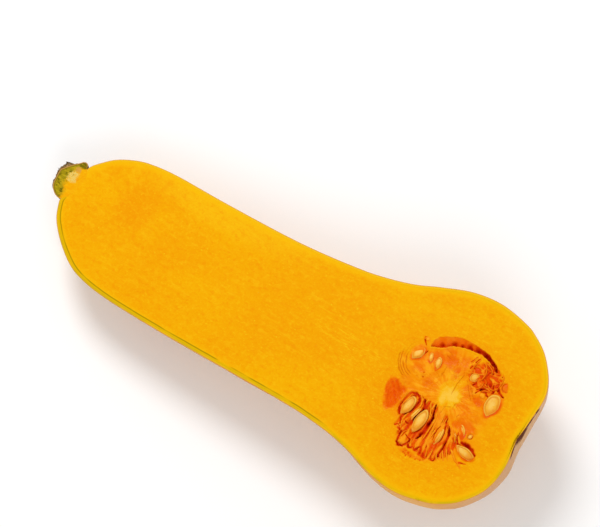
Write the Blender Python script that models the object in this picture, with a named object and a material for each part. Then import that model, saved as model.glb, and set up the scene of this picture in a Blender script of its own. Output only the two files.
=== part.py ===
"""Half of a butternut squash, cut lengthwise, lying on its rind with the cut face up.

Everything is drawn in the fruit's own frame: +X runs from the stem to the blossom end, Y lies across
the cut face, +Z is the cut face's normal, and the flesh is below Z = 0. An empty then tips that frame to
the angle at which the neck and the bulb both touch the table.
"""

from math import asin, atan, atan2, cos, exp, hypot, pi, radians, sin, sqrt

import bmesh
import bpy
from mathutils import Matrix, Vector

MM = 0.001
WELD = 0.01 * MM
SHARP_ANGLE = radians(35)

# Outline of the cut face, rind included, in mm: (x, y) on its upper side and (x, y) on its lower side.
# Each row is one round section of the fruit, and the two points are the ends of its diameter.
STATIONS = (
    (2.5, 0.3, 2.5, 0.3),
    (4.1, 10.0, 0.8, -9.4),
    (5.2, 13.2, 1.6, -13.6),
    (8.0, 16.6, 6.2, -22.0),
    (15.2, 23.2, 16.0, -31.4),
    (24.3, 27.9, 28.0, -39.2),
    (34.0, 30.7, 39.0, -42.7),
    (50.8, 32.3, 55.8, -44.6),
    (86.0, 32.4, 90.0, -45.0),
    (130.0, 33.6, 134.0, -44.1),
    (164.0, 37.0, 168.0, -43.4),
    (181.0, 40.2, 184.0, -43.8),
    (195.4, 44.4, 199.0, -45.1),
    (208.2, 50.0, 212.0, -47.6),
    (224.0, 55.8, 228.0, -52.1),
    (240.0, 57.6, 243.5, -53.6),
    (256.0, 54.8, 259.0, -50.4),
    (264.0, 51.4, 267.0, -46.9),
    (272.4, 45.6, 274.4, -41.4),
    (280.0, 36.4, 281.2, -32.6),
    (283.8, 28.0, 284.2, -24.8),
    (285.1, 19.0, 285.2, -16.6),
    (285.0, 9.0, 285.0, -7.0),
    (284.2, 1.0, 284.2, 1.0),
)
ROWS_PER_STATION = 2
HALF_TURN_COLUMNS = 31

# The fruit's skin is a little lobed round the stem and never quite round. Each wave of dents has its
# turn per mm along the fruit and its count round it, and narrow sections near the ends have less relief.
LOBES = 10
LOBE_DEPTH = 1.5 * MM
LOBE_FADE = 42 * MM
DENT_DEPTH = 0.5 * MM
DENT_WAVES = ((0.031 / MM, 3), (0.054 / MM, -5))
FULL_RELIEF_RADIUS = 20 * MM

# Rest: the fruit's weight is at this x, between the two places where it touches the table
WEIGHT_X = 170 * MM
FLAT_DEPTH = 0.6 * MM
TABLE_BLOCK = Vector((0.8, 0.4, 0.1))
TABLE_MIDDLE_X = 0.15

# Seed cavity: its rim on the cut face as x, y in mm, a point every 24 degrees from +X round its centre
CAVITY_CENTRE = Vector((239.0, -1.0, 0.0)) * MM
CAVITY_RIM = (
    (269.0, -1.0),
    (267.5, 12.0),
    (263.6, 23.4),
    (249.2, 30.6),
    (235.6, 32.2),
    (222.0, 28.0),
    (211.2, 19.0),
    (208.2, 6.0),
    (210.6, -7.2),
    (215.0, -18.6),
    (224.6, -27.6),
    (235.8, -33.8),
    (249.2, -32.0),
    (262.4, -26.8),
    (269.6, -14.6),
)
CAVITY_DEPTH = 27.0 * MM
CAVITY_SEGMENTS, CAVITY_RINGS = 60, 24

# Gap kept between solids that touch, how far the room for a seed is drawn up through the pulp above it,
# and how many gaps the room for the core reaches above it
CLEARANCE = 0.3 * MM
ROOM_ABOVE = 12 * MM
CORE_ROOM_ABOVE = 4

# Pulp: strands run out from the core, and between the two torn angles they stand up between deep gaps
PULP_SPOKES, PULP_RINGS = 72, 14
PULP_CLEARANCE = 0.45 * MM
PULP_LEVEL = 0.8 * MM
STRANDS = 24
STRAND_DEPTH = 0.35 * MM
STRAND_SWAY, STRAND_SWAYS = 0.8, 3
TORN_DEPTH = 6.0 * MM
TORN_MEAN = 0.62
TORN_FROM, TORN_TO = radians(-140), radians(-42)
TORN_EDGE = radians(14)
TORN_START = 8 * MM
# The arc where the pulp has shrunk from the wall, which closes between two depths and towards the foot
GAP_WIDTH = 4.6 * MM
GAP_ANGLE, GAP_SPREAD = radians(94), radians(40)
GAP_OPEN_DEPTH, GAP_SHUT_DEPTH = 5 * MM, 12 * MM
GAP_FOOT = 4
# Smooth hollows in the pulp: centre x, y, radius and depth in mm
HOLLOWS = (
    (213.5, -11.5, 8.0, 4.0),
    (256.5, 15.0, 5.5, 4.5),
)

# Pale core, where the seed strands meet
CORE_CENTRE = Vector((241.5, 4.5, -1.0)) * MM
CORE_RADII = Vector((8.0, 10.0, 10.0)) * MM
CORE_TOP = -0.15 * MM
CORE_SEGMENTS, CORE_RINGS = 24, 12

# Seeds: x, y, depth of the middle and length in mm, then in degrees the heading of the tip, the roll about
# the length and the dip of the tip
SEEDS = (
    (217.5, 14.6, 2.4, 11.0, 232, 38, 6),
    (223.2, 15.0, 3.0, 9.5, 262, 74, 8),
    (228.0, 14.2, 2.6, 10.5, 286, 48, 6),
    (248.0, 20.6, 2.4, 13.0, 258, 12, 4),
    (261.6, 9.8, 2.2, 13.5, 275, 10, 2),
    (256.8, 11.6, 4.2, 9.0, 200, 50, -30),
    (226.3, -11.4, 2.6, 13.5, 258, 40, 4),
    (235.8, -15.8, 2.8, 15.0, 260, 32, 3),
    (231.4, -14.0, 4.4, 13.0, 248, 80, 4),
    (247.6, -17.2, 3.0, 12.5, 269, 52, 3),
    (251.6, -18.0, 4.2, 11.0, 272, 72, 6),
    (254.2, -14.0, 4.0, 10.0, 312, 76, 4),
    (258.0, -9.4, 3.2, 9.5, 300, 58, 2),
    (261.5, -17.4, 3.2, 12.0, 351, 44, 2),
)
SEED_WIDTH_SHARE = 0.60
SEED_THICKNESS = 2.8 * MM
SEED_SEGMENTS, SEED_RINGS = 10, 7
SEED_TAPER, SEED_TAPER_POWER = 0.42, 1.6
THREAD_RADIUS = 0.75 * MM
THREAD_SIDES = 6
THREAD_DEPTH = 5.5 * MM
THREAD_START = 0.2

# Stem: the corky stub is five-sided and leans to one side and back from the cut face
STEM_BASE = Vector((2.3, 0.3, 0.0)) * MM
STEM_AXIS = Vector((-0.93, 0.16, -0.33)).normalized()
STEM_SEAT_NORMAL = Vector((-0.985, 0.171, 0.0)).normalized()
STEM_LENGTH = 13.0 * MM
STEM_BASE_RADIUS, STEM_WAIST_RADIUS, STEM_END_RADIUS = 11.6 * MM, 8.2 * MM, 8.8 * MM
STEM_RIDGES = 5
STEM_RIDGE_DEPTH = 0.13
STEM_RIDGE_TURN = 0.5
STEM_ROWS, STEM_COLUMNS = 9, 40
STEM_FLARE = 0.30
STEM_WIDENS_FROM = 0.5
STEM_END_RAGGED, STEM_END_TEETH, STEM_RAGGED_FROM = 0.9 * MM, 7, 0.8

FLESH = ((0.93, 0.46, 0.02, 1.0), 0.42)
RIND = ((0.78, 0.49, 0.24, 1.0), 0.48)
PULP = ((0.86, 0.25, 0.015, 1.0), 0.35)
SEED = ((0.90, 0.70, 0.36, 1.0), 0.40)
CORK = ((0.30, 0.25, 0.09, 1.0), 0.80)


def clear_scene():
    for item in list(bpy.data.objects):
        bpy.data.objects.remove(item)


def new_collection(name):
    collection = bpy.data.collections.new(name)
    bpy.context.scene.collection.children.link(collection)
    return collection


def new_material(name, finish):
    colour, roughness = finish
    material = bpy.data.materials.new(name)
    material.use_nodes = True
    material.diffuse_color = colour
    shader = material.node_tree.nodes["Principled BSDF"]
    shader.inputs["Base Color"].default_value = colour
    shader.inputs["Roughness"].default_value = roughness
    shader.inputs["Metallic"].default_value = 0.0
    return material


def new_object(name, bm, collection, *materials):
    """Turns a bmesh into an object, with its faces pointing out and its curved faces smooth."""
    bmesh.ops.recalc_face_normals(bm, faces=bm.faces)
    mesh = bpy.data.meshes.new(name)
    bm.to_mesh(mesh)
    bm.free()
    for material in materials:
        mesh.materials.append(material)
    mesh.shade_smooth()
    mesh.set_sharp_from_angle(angle=SHARP_ANGLE)
    made = bpy.data.objects.new(name, mesh)
    collection.objects.link(made)
    return made


def smooth_step(low, high, value):
    t = min(1.0, max(0.0, (value - low) / (high - low)))
    return t * t * (3 - 2 * t)


def bump(x, y, centre_x, centre_y, radius):
    """1 at the centre, falling smoothly to about a third at the radius."""
    return exp(-((x - centre_x) ** 2 + (y - centre_y) ** 2) / radius**2)


def curve_point(before, start, end, after, t):
    """A point of the smooth (Catmull-Rom) curve between start and end."""
    linear = (end - before) * t
    square = (2 * before - 5 * start + 4 * end - after) * t**2
    cube = (3 * start - before - 3 * end + after) * t**3
    return start + (linear + square + cube) / 2


def spline(rows, per_row):
    """A smooth run of points through the rows, which are vectors of any length."""
    points = []
    for i in range(len(rows) - 1):
        near = [rows[max(0, min(len(rows) - 1, i + k))] for k in (-1, 0, 1, 2)]
        points += [curve_point(*near, step / per_row) for step in range(per_row)]
    points.append(rows[-1])
    return points


def cavity_rim(angle):
    """The point of the cavity's rim in a direction from its centre."""
    count = len(CAVITY_RIM)
    place = (angle / (2 * pi)) % 1.0 * count
    first = int(place) % count
    near = [Vector(CAVITY_RIM[(first + k) % count]).to_3d() * MM for k in (-1, 0, 1, 2)]
    return curve_point(*near, place - int(place))


def sheet(rows, columns, place):
    """A grid of faces whose point (row, column) is moved to place(row, column), its double points merged."""
    bm = bmesh.new()
    bmesh.ops.create_grid(bm, x_segments=rows - 1, y_segments=columns - 1, size=1.0)
    for vertex in bm.verts:
        row = round((vertex.co.x + 1) / 2 * (rows - 1))
        column = round((vertex.co.y + 1) / 2 * (columns - 1))
        vertex.co = place(row, column)
    bmesh.ops.remove_doubles(bm, verts=bm.verts, dist=WELD)
    return bm


def fruit_sections():
    """(middle, half diameter) of each round section of the fruit, in its own frame."""
    sections = []
    for run in spline([Vector(row) * MM for row in STATIONS], ROWS_PER_STATION):
        upper, lower = Vector((run[0], run[1], 0)), Vector((run[2], run[3], 0))
        sections.append(((upper + lower) / 2, (upper - lower) / 2))
    return sections


def skin_relief(x, angle):
    """How far the skin stands in from round: furrows round the stem, and dents that fade at the cut."""
    below_cut = sin(angle)
    furrow = LOBE_DEPTH * exp(-((x / LOBE_FADE) ** 2)) * (0.5 - 0.5 * cos(LOBES * angle))
    dent = DENT_DEPTH * sum(sin(along * x + around * angle) for along, around in DENT_WAVES)
    return (furrow + dent) * below_cut


def skin_point(section, angle):
    """A point of the skin, at an angle from the upper edge of the cut face down round the fruit."""
    middle, arm = section
    radius = arm.length
    if radius < MM:
        return middle
    inset = skin_relief(middle.x, angle) * smooth_step(0, FULL_RELIEF_RADIUS, radius)
    share = (radius - inset) / radius
    return middle + (arm * cos(angle) + Vector((0, 0, -radius)) * sin(angle)) * share


def rest_tilt():
    """The angle that lays the underside on the table at two places, one each side of the weight."""
    lowest = [skin_point(section, pi / 2) for section in fruit_sections()]
    lines = []
    for fore in (point for point in lowest if point.x < WEIGHT_X):
        for aft in (point for point in lowest if point.x > WEIGHT_X):
            slope = (aft.z - fore.z) / (aft.x - fore.x)
            lines.append((fore.z + slope * (WEIGHT_X - fore.x), slope))
    return -atan(min(lines)[1])


def make_squash_half(collection, flesh, rind):
    """The fruit itself: flesh and the rind that grew on it, turned through the half below the cut."""
    sections = fruit_sections()

    def place(row, column):
        return skin_point(sections[row], pi * column / (HALF_TURN_COLUMNS - 1))

    bm = sheet(len(sections), HALF_TURN_COLUMNS, place)
    for face in bm.faces:
        face.material_index = 1
    bmesh.ops.holes_fill(bm, edges=[edge for edge in bm.edges if edge.is_boundary], sides=0)
    return new_object("squash_half", bm, collection, flesh, rind)


def make_cavity_cutter(collection):
    bm = bmesh.new()
    bmesh.ops.create_uvsphere(bm, u_segments=CAVITY_SEGMENTS, v_segments=CAVITY_RINGS, radius=1.0)
    for vertex in bm.verts:
        reach = cavity_rim(atan2(vertex.co.y, vertex.co.x)) - CAVITY_CENTRE
        out = hypot(vertex.co.x, vertex.co.y)
        vertex.co = CAVITY_CENTRE + reach * out + Vector((0, 0, CAVITY_DEPTH * vertex.co.z))
    return new_object("seed_cavity_cutter", bm, collection)


def make_table_cutter(collection, height):
    """A block whose top is the table: it leaves the two small flats that the fruit rests on."""
    bm = bmesh.new()
    bmesh.ops.create_cube(bm, size=1.0)
    block = new_object("table_cutter", bm, collection)
    block.scale = TABLE_BLOCK
    block.location = (TABLE_MIDDLE_X, 0.0, height - TABLE_BLOCK.z / 2)
    return block


def pulp_top(x, y):
    """Height of the pulp's upper side at a point of the cut face."""
    from_core = hypot(x - CORE_CENTRE.x, y - CORE_CENTRE.y)
    heading = atan2(y - CORE_CENTRE.y, x - CORE_CENTRE.x)
    sector = smooth_step(TORN_FROM, TORN_FROM + TORN_EDGE, heading)
    sector *= 1 - smooth_step(TORN_TO - TORN_EDGE, TORN_TO, heading)
    torn = sector * smooth_step(TORN_START, 2 * TORN_START, from_core)
    strand = cos(STRANDS * heading + STRAND_SWAY * sin(STRAND_SWAYS * heading))
    drop = PULP_LEVEL + torn * TORN_DEPTH * (TORN_MEAN - (1 - TORN_MEAN) * strand)
    drop += (1 - torn) * STRAND_DEPTH * (1 - strand) * smooth_step(TORN_START, 2 * TORN_START, from_core)
    for centre_x, centre_y, radius, depth in HOLLOWS:
        drop += depth * MM * bump(x / MM, y / MM, centre_x, centre_y, radius)
    return -drop


def pulp_gap(angle, depth):
    """How far the pulp has shrunk from the cavity's wall: a wide arc along one side, open at the top."""
    arc = exp(-(((angle - GAP_ANGLE) / GAP_SPREAD) ** 4))
    return PULP_CLEARANCE + GAP_WIDTH * arc * (1 - smooth_step(GAP_OPEN_DEPTH, GAP_SHUT_DEPTH, depth))


def make_seed_pulp(collection, material):
    """The stringy pulp that fills the cavity: strands run out from the core, and one side is torn open.

    The sphere's upper half is pressed flat to become the pulp's top, and its lower half lines the cavity.
    """
    floor = -CAVITY_DEPTH + PULP_CLEARANCE
    equator = 0.001
    bm = bmesh.new()
    bmesh.ops.create_uvsphere(bm, u_segments=PULP_SPOKES, v_segments=PULP_RINGS, radius=1.0)
    for vertex in bm.verts:
        angle = atan2(vertex.co.y, vertex.co.x)
        level = vertex.co.z
        reach = cavity_rim(angle) - CAVITY_CENTRE
        edge_height = pulp_top(*(CAVITY_CENTRE + reach).xy)
        height = edge_height + (floor - edge_height) * max(0.0, -level)
        wall = sqrt(max(0.0, 1 - (height / floor) ** 2))
        share = 1.0 if level < equator else 1 - 2 / pi * asin(min(1.0, level))
        gap = pulp_gap(angle, -height) * min(1.0, GAP_FOOT * wall)
        out = max(0.0, reach.length * wall - gap) * share
        vertex.co = CAVITY_CENTRE + reach.normalized() * out
        vertex.co.z = height if level < equator else pulp_top(*vertex.co.xy)
    return new_object("seed_pulp", bm, collection, material)


def seed_frame(seed):
    """(matrix that carries a seed from its own axes, tip along +X and flat sides up and down, length)."""
    x, y, depth, length, heading, roll, dip = seed
    turn = Matrix.Rotation(radians(heading), 4, "Z")
    turn @= Matrix.Rotation(radians(dip), 4, "Y") @ Matrix.Rotation(radians(roll), 4, "X")
    return Matrix.Translation(Vector((x, y, -depth)) * MM) @ turn, length * MM


def make_seed(name, seed, grow, collection):
    """One flat seed, round at one end and drawn to a tip at the other."""
    frame, length = seed_frame(seed)
    half = Vector((length, length * SEED_WIDTH_SHARE, SEED_THICKNESS)) / 2 + Vector((grow,) * 3)
    bm = bmesh.new()
    bmesh.ops.create_uvsphere(bm, u_segments=SEED_SEGMENTS, v_segments=SEED_RINGS, radius=1.0)
    bmesh.ops.rotate(bm, verts=bm.verts, cent=(0, 0, 0), matrix=Matrix.Rotation(pi / 2, 3, "Y"))
    for vertex in bm.verts:
        towards_tip = max(0.0, vertex.co.x)
        vertex.co.y *= half.y * (1 - SEED_TAPER * towards_tip**SEED_TAPER_POWER)
        vertex.co.z *= half.z
        vertex.co.x *= half.x
    bmesh.ops.transform(bm, verts=bm.verts, matrix=frame)
    if grow > 0:
        draw_up(bm)
    return new_object(name, bm, collection)


def draw_up(bm):
    """Draws a rounded form straight up, so that it leaves an open pit in the pulp and no thin lid."""
    points = [vertex.co.copy() for vertex in bm.verts]
    bmesh.ops.delete(bm, geom=bm.verts[:], context="VERTS")
    for point in points:
        bm.verts.new(point)
        bm.verts.new(point + Vector((0, 0, ROOM_ABOVE)))
    hull = bmesh.ops.convex_hull(bm, input=bm.verts[:])
    inside = [item for item in hull["geom_interior"] if isinstance(item, bmesh.types.BMVert)]
    bmesh.ops.delete(bm, geom=inside, context="VERTS")


def make_thread(name, seed, grow, collection):
    """The strand under a seed that holds it to the core."""
    frame, length = seed_frame(seed)
    start = frame @ Vector((-THREAD_START * length, 0, 0))
    end = CORE_CENTRE - Vector((0, 0, THREAD_DEPTH))
    along = end - start
    radius = THREAD_RADIUS + grow
    bm = bmesh.new()
    bmesh.ops.create_cone(
        bm, cap_ends=True, segments=THREAD_SIDES, radius1=radius, radius2=radius, depth=along.length
    )
    turn = along.to_track_quat("Z", "Y").to_matrix().to_4x4()
    bmesh.ops.transform(bm, verts=bm.verts, matrix=Matrix.Translation((start + end) / 2) @ turn)
    return new_object(name, bm, collection)


def make_core(name, grow, collection, *materials):
    """The pale core, cut level with the flesh."""
    bm = bmesh.new()
    bmesh.ops.create_uvsphere(bm, u_segments=CORE_SEGMENTS, v_segments=CORE_RINGS, radius=1.0)
    radii = CORE_RADII + Vector((grow,) * 3)
    bmesh.ops.transform(
        bm, verts=bm.verts, matrix=Matrix.Translation(CORE_CENTRE) @ Matrix.Diagonal(radii.to_4d())
    )
    cut = bmesh.ops.bisect_plane(
        bm,
        geom=bm.verts[:] + bm.edges[:] + bm.faces[:],
        plane_co=(0, 0, CORE_TOP + CORE_ROOM_ABOVE * grow),
        plane_no=(0, 0, 1),
        clear_outer=True,
    )
    rim = [item for item in cut["geom_cut"] if isinstance(item, bmesh.types.BMEdge)]
    bmesh.ops.edgeloop_fill(bm, edges=rim)
    return new_object(name, bm, collection, *materials)


def make_seed_core(name, grow, collection, *materials):
    """The core with every seed and its strand, joined in one solid."""
    core = make_core(name, grow, collection, *materials)
    pieces = new_collection(name + "_pieces")
    for number, seed in enumerate(SEEDS, 1):
        make_seed(f"{name}_seed_{number:02d}", seed, grow, pieces)
        make_thread(f"{name}_thread_{number:02d}", seed, grow, pieces)
    union = core.modifiers.new("seeds", "BOOLEAN")
    union.operation = "UNION"
    union.operand_type = "COLLECTION"
    union.collection = pieces
    apply_modifiers(core)
    for piece in list(pieces.objects):
        bpy.data.objects.remove(piece)
    bpy.data.collections.remove(pieces)
    return core


def apply_modifiers(item):
    graph = bpy.context.evaluated_depsgraph_get()
    mesh = bpy.data.meshes.new_from_object(item.evaluated_get(graph))
    item.modifiers.clear()
    item.data = mesh


def drop_scraps(item):
    """Keeps the largest body of a mesh and drops the loose scraps that a cut left."""
    bm = bmesh.new()
    bm.from_mesh(item.data)
    left = set(bm.faces)
    bodies = []
    while left:
        body = {left.pop()}
        front = list(body)
        while front:
            face = front.pop()
            reached = {near for edge in face.edges for near in edge.link_faces} & left
            left -= reached
            body |= reached
            front += reached
        bodies.append(body)
    bodies.sort(key=len)
    for scrap in bodies[:-1]:
        bmesh.ops.delete(bm, geom=list(scrap), context="FACES")
    bm.to_mesh(item.data)
    bm.free()


def cut_with(item, cutter):
    cut = item.modifiers.new("cut_" + cutter.name, "BOOLEAN")
    cut.operation = "DIFFERENCE"
    cut.solver = "EXACT"
    cut.object = cutter
    cutter.hide_render = True
    cutter.display_type = "WIRE"


def stem_radius(along):
    """Flared where it grips the fruit, narrow in the middle and a little wider at the broken end."""
    flare = (STEM_BASE_RADIUS - STEM_WAIST_RADIUS) * exp(-((along / STEM_FLARE) ** 2))
    end = (STEM_END_RADIUS - STEM_WAIST_RADIUS) * smooth_step(STEM_WIDENS_FROM, 1.0, along)
    return STEM_WAIST_RADIUS + flare + end


def make_stem(collection, material):
    """The half of the corky stem that stays on this half of the fruit."""
    across = Vector((-STEM_SEAT_NORMAL.y, STEM_SEAT_NORMAL.x, 0))
    into = Vector((0, 0, -1))
    seat = STEM_BASE + STEM_SEAT_NORMAL * CLEARANCE

    def place(row, column):
        along = row / (STEM_ROWS - 1)
        turn = 2 * pi * column / (STEM_COLUMNS - 1)
        ridge = 1 + STEM_RIDGE_DEPTH * cos(STEM_RIDGES * turn + STEM_RIDGE_TURN)
        radius = stem_radius(along) * ridge
        ragged = STEM_END_RAGGED * sin(STEM_END_TEETH * turn) * smooth_step(STEM_RAGGED_FROM, 1.0, along)
        middle = seat + STEM_AXIS * (STEM_LENGTH * along + ragged)
        return middle + (across * cos(turn) + into * sin(turn)) * radius

    bm = sheet(STEM_ROWS, STEM_COLUMNS, place)
    bmesh.ops.holes_fill(bm, edges=[edge for edge in bm.edges if edge.is_boundary], sides=0)
    cut = bmesh.ops.bisect_plane(
        bm,
        geom=bm.verts[:] + bm.edges[:] + bm.faces[:],
        plane_co=(0, 0, 0),
        plane_no=(0, 0, 1),
        clear_outer=True,
    )
    rim = [item for item in cut["geom_cut"] if isinstance(item, bmesh.types.BMEdge)]
    bmesh.ops.edgeloop_fill(bm, edges=rim)
    return new_object("stem", bm, collection, material)


def corners(items):
    """Lowest and highest corner of the objects in the world, with their modifiers."""
    bpy.context.view_layer.update()
    graph = bpy.context.evaluated_depsgraph_get()
    points = []
    for item in items:
        evaluated = item.evaluated_get(graph)
        points += [evaluated.matrix_world @ vertex.co for vertex in evaluated.data.vertices]
    low = Vector([min(point[axis] for point in points) for axis in range(3)])
    high = Vector([max(point[axis] for point in points) for axis in range(3)])
    return low, high


def main():
    clear_scene()
    squash = new_collection("butternut_squash_half")
    cutters = new_collection("cutters")
    flesh, rind = new_material("flesh", FLESH), new_material("rind", RIND)
    pulp, seed, cork = new_material("pulp", PULP), new_material("seed", SEED), new_material("cork", CORK)

    half = make_squash_half(squash, flesh, rind)
    seed_pulp = make_seed_pulp(squash, pulp)
    seed_core = make_seed_core("seed_core", 0.0, squash, seed)
    stem = make_stem(squash, cork)
    cavity = make_cavity_cutter(cutters)
    core_room = make_seed_core("seed_core_room", CLEARANCE, cutters)
    cut_with(half, cavity)
    cut_with(seed_pulp, core_room)
    apply_modifiers(seed_pulp)
    drop_scraps(seed_pulp)

    frame = bpy.data.objects.new("fruit_frame", None)
    squash.objects.link(frame)
    frame.rotation_euler = (0, -rest_tilt(), 0)
    for item in (half, seed_pulp, seed_core, stem, cavity, core_room):
        item.parent = frame

    low, high = corners([half])
    table = make_table_cutter(cutters, low.z + FLAT_DEPTH)
    cut_with(half, table)
    low, high = corners([half, stem])
    shift = Vector((-(low.x + high.x) / 2, -(low.y + high.y) / 2, -low.z))
    frame.location = shift
    table.location += shift


main()
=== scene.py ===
from math import asin, atan, atan2, cos, degrees, exp, hypot, pi, radians, sin, sqrt

import bmesh
import bpy
import numpy as np
from mathutils import Matrix, Vector, noise


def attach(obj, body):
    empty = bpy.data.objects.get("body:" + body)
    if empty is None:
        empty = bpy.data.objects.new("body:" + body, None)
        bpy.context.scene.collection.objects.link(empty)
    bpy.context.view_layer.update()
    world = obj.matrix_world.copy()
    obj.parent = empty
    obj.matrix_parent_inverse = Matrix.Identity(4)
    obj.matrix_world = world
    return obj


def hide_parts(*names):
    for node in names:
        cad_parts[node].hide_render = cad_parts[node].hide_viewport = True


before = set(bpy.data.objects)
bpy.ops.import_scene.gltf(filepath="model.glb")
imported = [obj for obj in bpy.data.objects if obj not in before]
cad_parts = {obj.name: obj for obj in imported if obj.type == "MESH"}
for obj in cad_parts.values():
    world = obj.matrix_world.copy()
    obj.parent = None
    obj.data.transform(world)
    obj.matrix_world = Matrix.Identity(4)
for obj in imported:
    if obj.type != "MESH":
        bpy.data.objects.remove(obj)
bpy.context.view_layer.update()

# The fruit's own frame, in mm: x from the stem to the blossom end, y across the cut face, z out of it.

fruit = {
    "stations": (  # x, y of the section's upper end and of its lower end, on the cut face
        (2.5, 0.3, 2.5, 0.3),
        (4.1, 10.0, 0.8, -9.4),
        (5.2, 13.2, 1.6, -13.6),
        (8.0, 16.6, 6.2, -22.0),
        (15.2, 23.2, 16.0, -31.4),
        (24.3, 27.9, 28.0, -39.2),
        (34.0, 30.7, 39.0, -42.7),
        (50.8, 32.3, 55.8, -44.6),
        (86.0, 32.4, 90.0, -45.0),
        (130.0, 33.6, 134.0, -44.1),
        (164.0, 37.0, 168.0, -43.4),
        (181.0, 40.2, 184.0, -43.8),
        (195.4, 44.4, 199.0, -45.1),
        (208.2, 50.0, 212.0, -47.6),
        (224.0, 55.8, 228.0, -52.1),
        (240.0, 57.6, 243.5, -53.6),
        (256.0, 54.8, 259.0, -50.4),
        (264.0, 51.4, 267.0, -46.9),
        (272.4, 45.6, 274.4, -41.4),
        (280.0, 36.4, 281.2, -32.6),
        (283.8, 28.0, 284.2, -24.8),
        (285.1, 19.0, 285.2, -16.6),
        (285.0, 9.0, 285.0, -7.0),
        (284.2, 1.0, 284.2, 1.0),
    ),
    "weightX": 170.0,  # where its weight acts
    "lobes": 10,  # soft furrows round the stem, which fade out along the neck
    "lobeDepth": 1.5,
    "lobeFade": 42.0,
    "dentDepth": 0.5,
    "dents": ((0.031, 3), (0.054, -5)),  # waves per mm along the fruit, and round half of it
    "bumps": ((0.16, 0.10, 3), (0.07, 0.45, 4)),  # depth, scale and seed
    "creaseDepth": 0.5,  # fine creases by the stem
    "creaseFade": 26,
    "fullness": 0.062,  # how far the bulb's low side swells out below the cut
    "fullFrom": 185.0,
    "fullTo": 225.0,
    "rows": 280,  # of the skin's mesh, along the fruit
    "columns": 150,  # and round it
    "rindThickness": 1.1,
    "scars": (  # patches of cork at the blossom end: y, z and half sizes
        (4.6, -3.0, 6.2, 6.6),
        (-5.0, -1.8, 4.4, 2.8),
        (12.0, -1.6, 4.4, 3.0),
        (18.4, -1.6, 2.2, 2.6),
    ),
    "scarFloor": (4.0, -2.4, 11.0, 4.0),  # where that end is sunken
    "hollow": 2.1,  # how far the blossom end is pushed in beside the scar
    "across": 84,  # rows of the flesh's mesh over the cut face
    "under": 56,  # and below it
}

cavity = {
    "centre": (239.0, -1.0),
    "rim": (  # x, y, a point every 24 degrees
        (269.0, -1.0),
        (267.5, 12.0),
        (263.6, 23.4),
        (249.2, 30.6),
        (235.6, 32.2),
        (222.0, 28.0),
        (211.2, 19.0),
        (208.2, 6.0),
        (210.6, -7.2),
        (215.0, -18.6),
        (224.6, -27.6),
        (235.8, -33.8),
        (249.2, -32.0),
        (262.4, -26.8),
        (269.6, -14.6),
    ),
    "depth": 27.0,
    "above": 4.0,  # how far the bowl that cuts it stands out of the face
    "spokes": 60,
    "rings": 24,
    "calm": (239.0, -1.0, 35.0, 36.0),  # where the cut face stays flat: middle and half sizes
    "cutMargin": 2.2,  # how far past the rim the flesh is cut away
    "pulpMargin": 2.5,  # how far the pulp's own sheet runs, to tuck in under the flesh
}

view = {
    "pictureSize": (600, 527),
    "stemPixel": (70.0, 182.0),
    "endPixel": (523.0, 445.0),
    "focalPixels": 2000.0,
    "distance": 1050.0,  # mm from the cut face at the picture's centre
    "slant": radians(21.0),
    "slantHeading": radians(-60.0),
}
studio = {
    "level": 1.12,  # how bright the light on the cut face is
    "sky": 0.56,
    "floor": 0.95,
    "lamps": (  # name, place in metres, size and power
        ("keyLight", (-0.55, 0.55, 1.15), 0.55, 9.6),
        ("fillLight", (0.75, -0.65, 1.0), 0.9, 4.9),
    ),
    "aim": (0.0, 0.0, 0.03),
}


def between(low, high, value):  # smooth step, on numbers and arrays
    t = np.clip((value - low) / (high - low), 0.0, 1.0)
    return t * t * (3 - 2 * t)


def curvePoint(before, start, end, after, t):
    linear = (end - before) * t
    square = (2 * before - 5 * start + 4 * end - after) * t**2
    cube = (3 * start - before - 3 * end + after) * t**3
    return start + (linear + square + cube) / 2


def smoothRun(rows, perRow):
    rows = [np.array(row, float) for row in rows]
    points = []
    for i in range(len(rows) - 1):
        near = [rows[max(0, min(len(rows) - 1, i + k))] for k in (-1, 0, 1, 2)]
        points += [curvePoint(*near, step / perRow) for step in range(perRow)]
    points.append(rows[-1])
    return np.array(points)


def evenRun(run, count):  # the same curve, with its points at even steps along it
    steps = np.sqrt(((run[1:] - run[:-1]) ** 2).sum(1))
    along = np.concatenate([[0], np.cumsum(steps)])
    wanted = np.linspace(0, along[-1], count)
    return np.stack([np.interp(wanted, along, run[:, k]) for k in range(run.shape[1])], 1)


def skinPoints(run, angles):  # points of the skin: a row for each section, a column for each angle
    upper = np.column_stack([run[:, :2], np.zeros(len(run))])
    lower = np.column_stack([run[:, 2:], np.zeros(len(run))])
    middle = (upper + lower) / 2
    arm = (upper - lower) / 2
    radius = np.maximum(np.linalg.norm(arm, axis=1), 1e-6)
    x = middle[:, :1]
    below = np.sin(angles)[None, :]
    furrow = fruit["lobeDepth"] * np.exp(-((x / fruit["lobeFade"]) ** 2))
    furrow = furrow * (0.5 - 0.5 * np.cos(fruit["lobes"] * angles))[None, :]
    dent = fruit["dentDepth"] * sum(np.sin(along * x + about * angles) for along, about in fruit["dents"])
    inset = (furrow + dent) * below * between(0, 20, radius)[:, None]
    swell = fruit["fullness"] * between(fruit["fullFrom"], fruit["fullTo"], x)
    full = swell * np.maximum(0, -np.sin(2 * angles))
    share = (radius[:, None] - inset) / radius[:, None] + full
    turn = arm[:, None, :] * np.cos(angles)[None, :, None]
    down = np.zeros((len(run), len(angles), 3))
    down[:, :, 2] = -radius[:, None] * below
    return middle[:, None, :] + (turn + down) * share[:, :, None]


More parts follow.
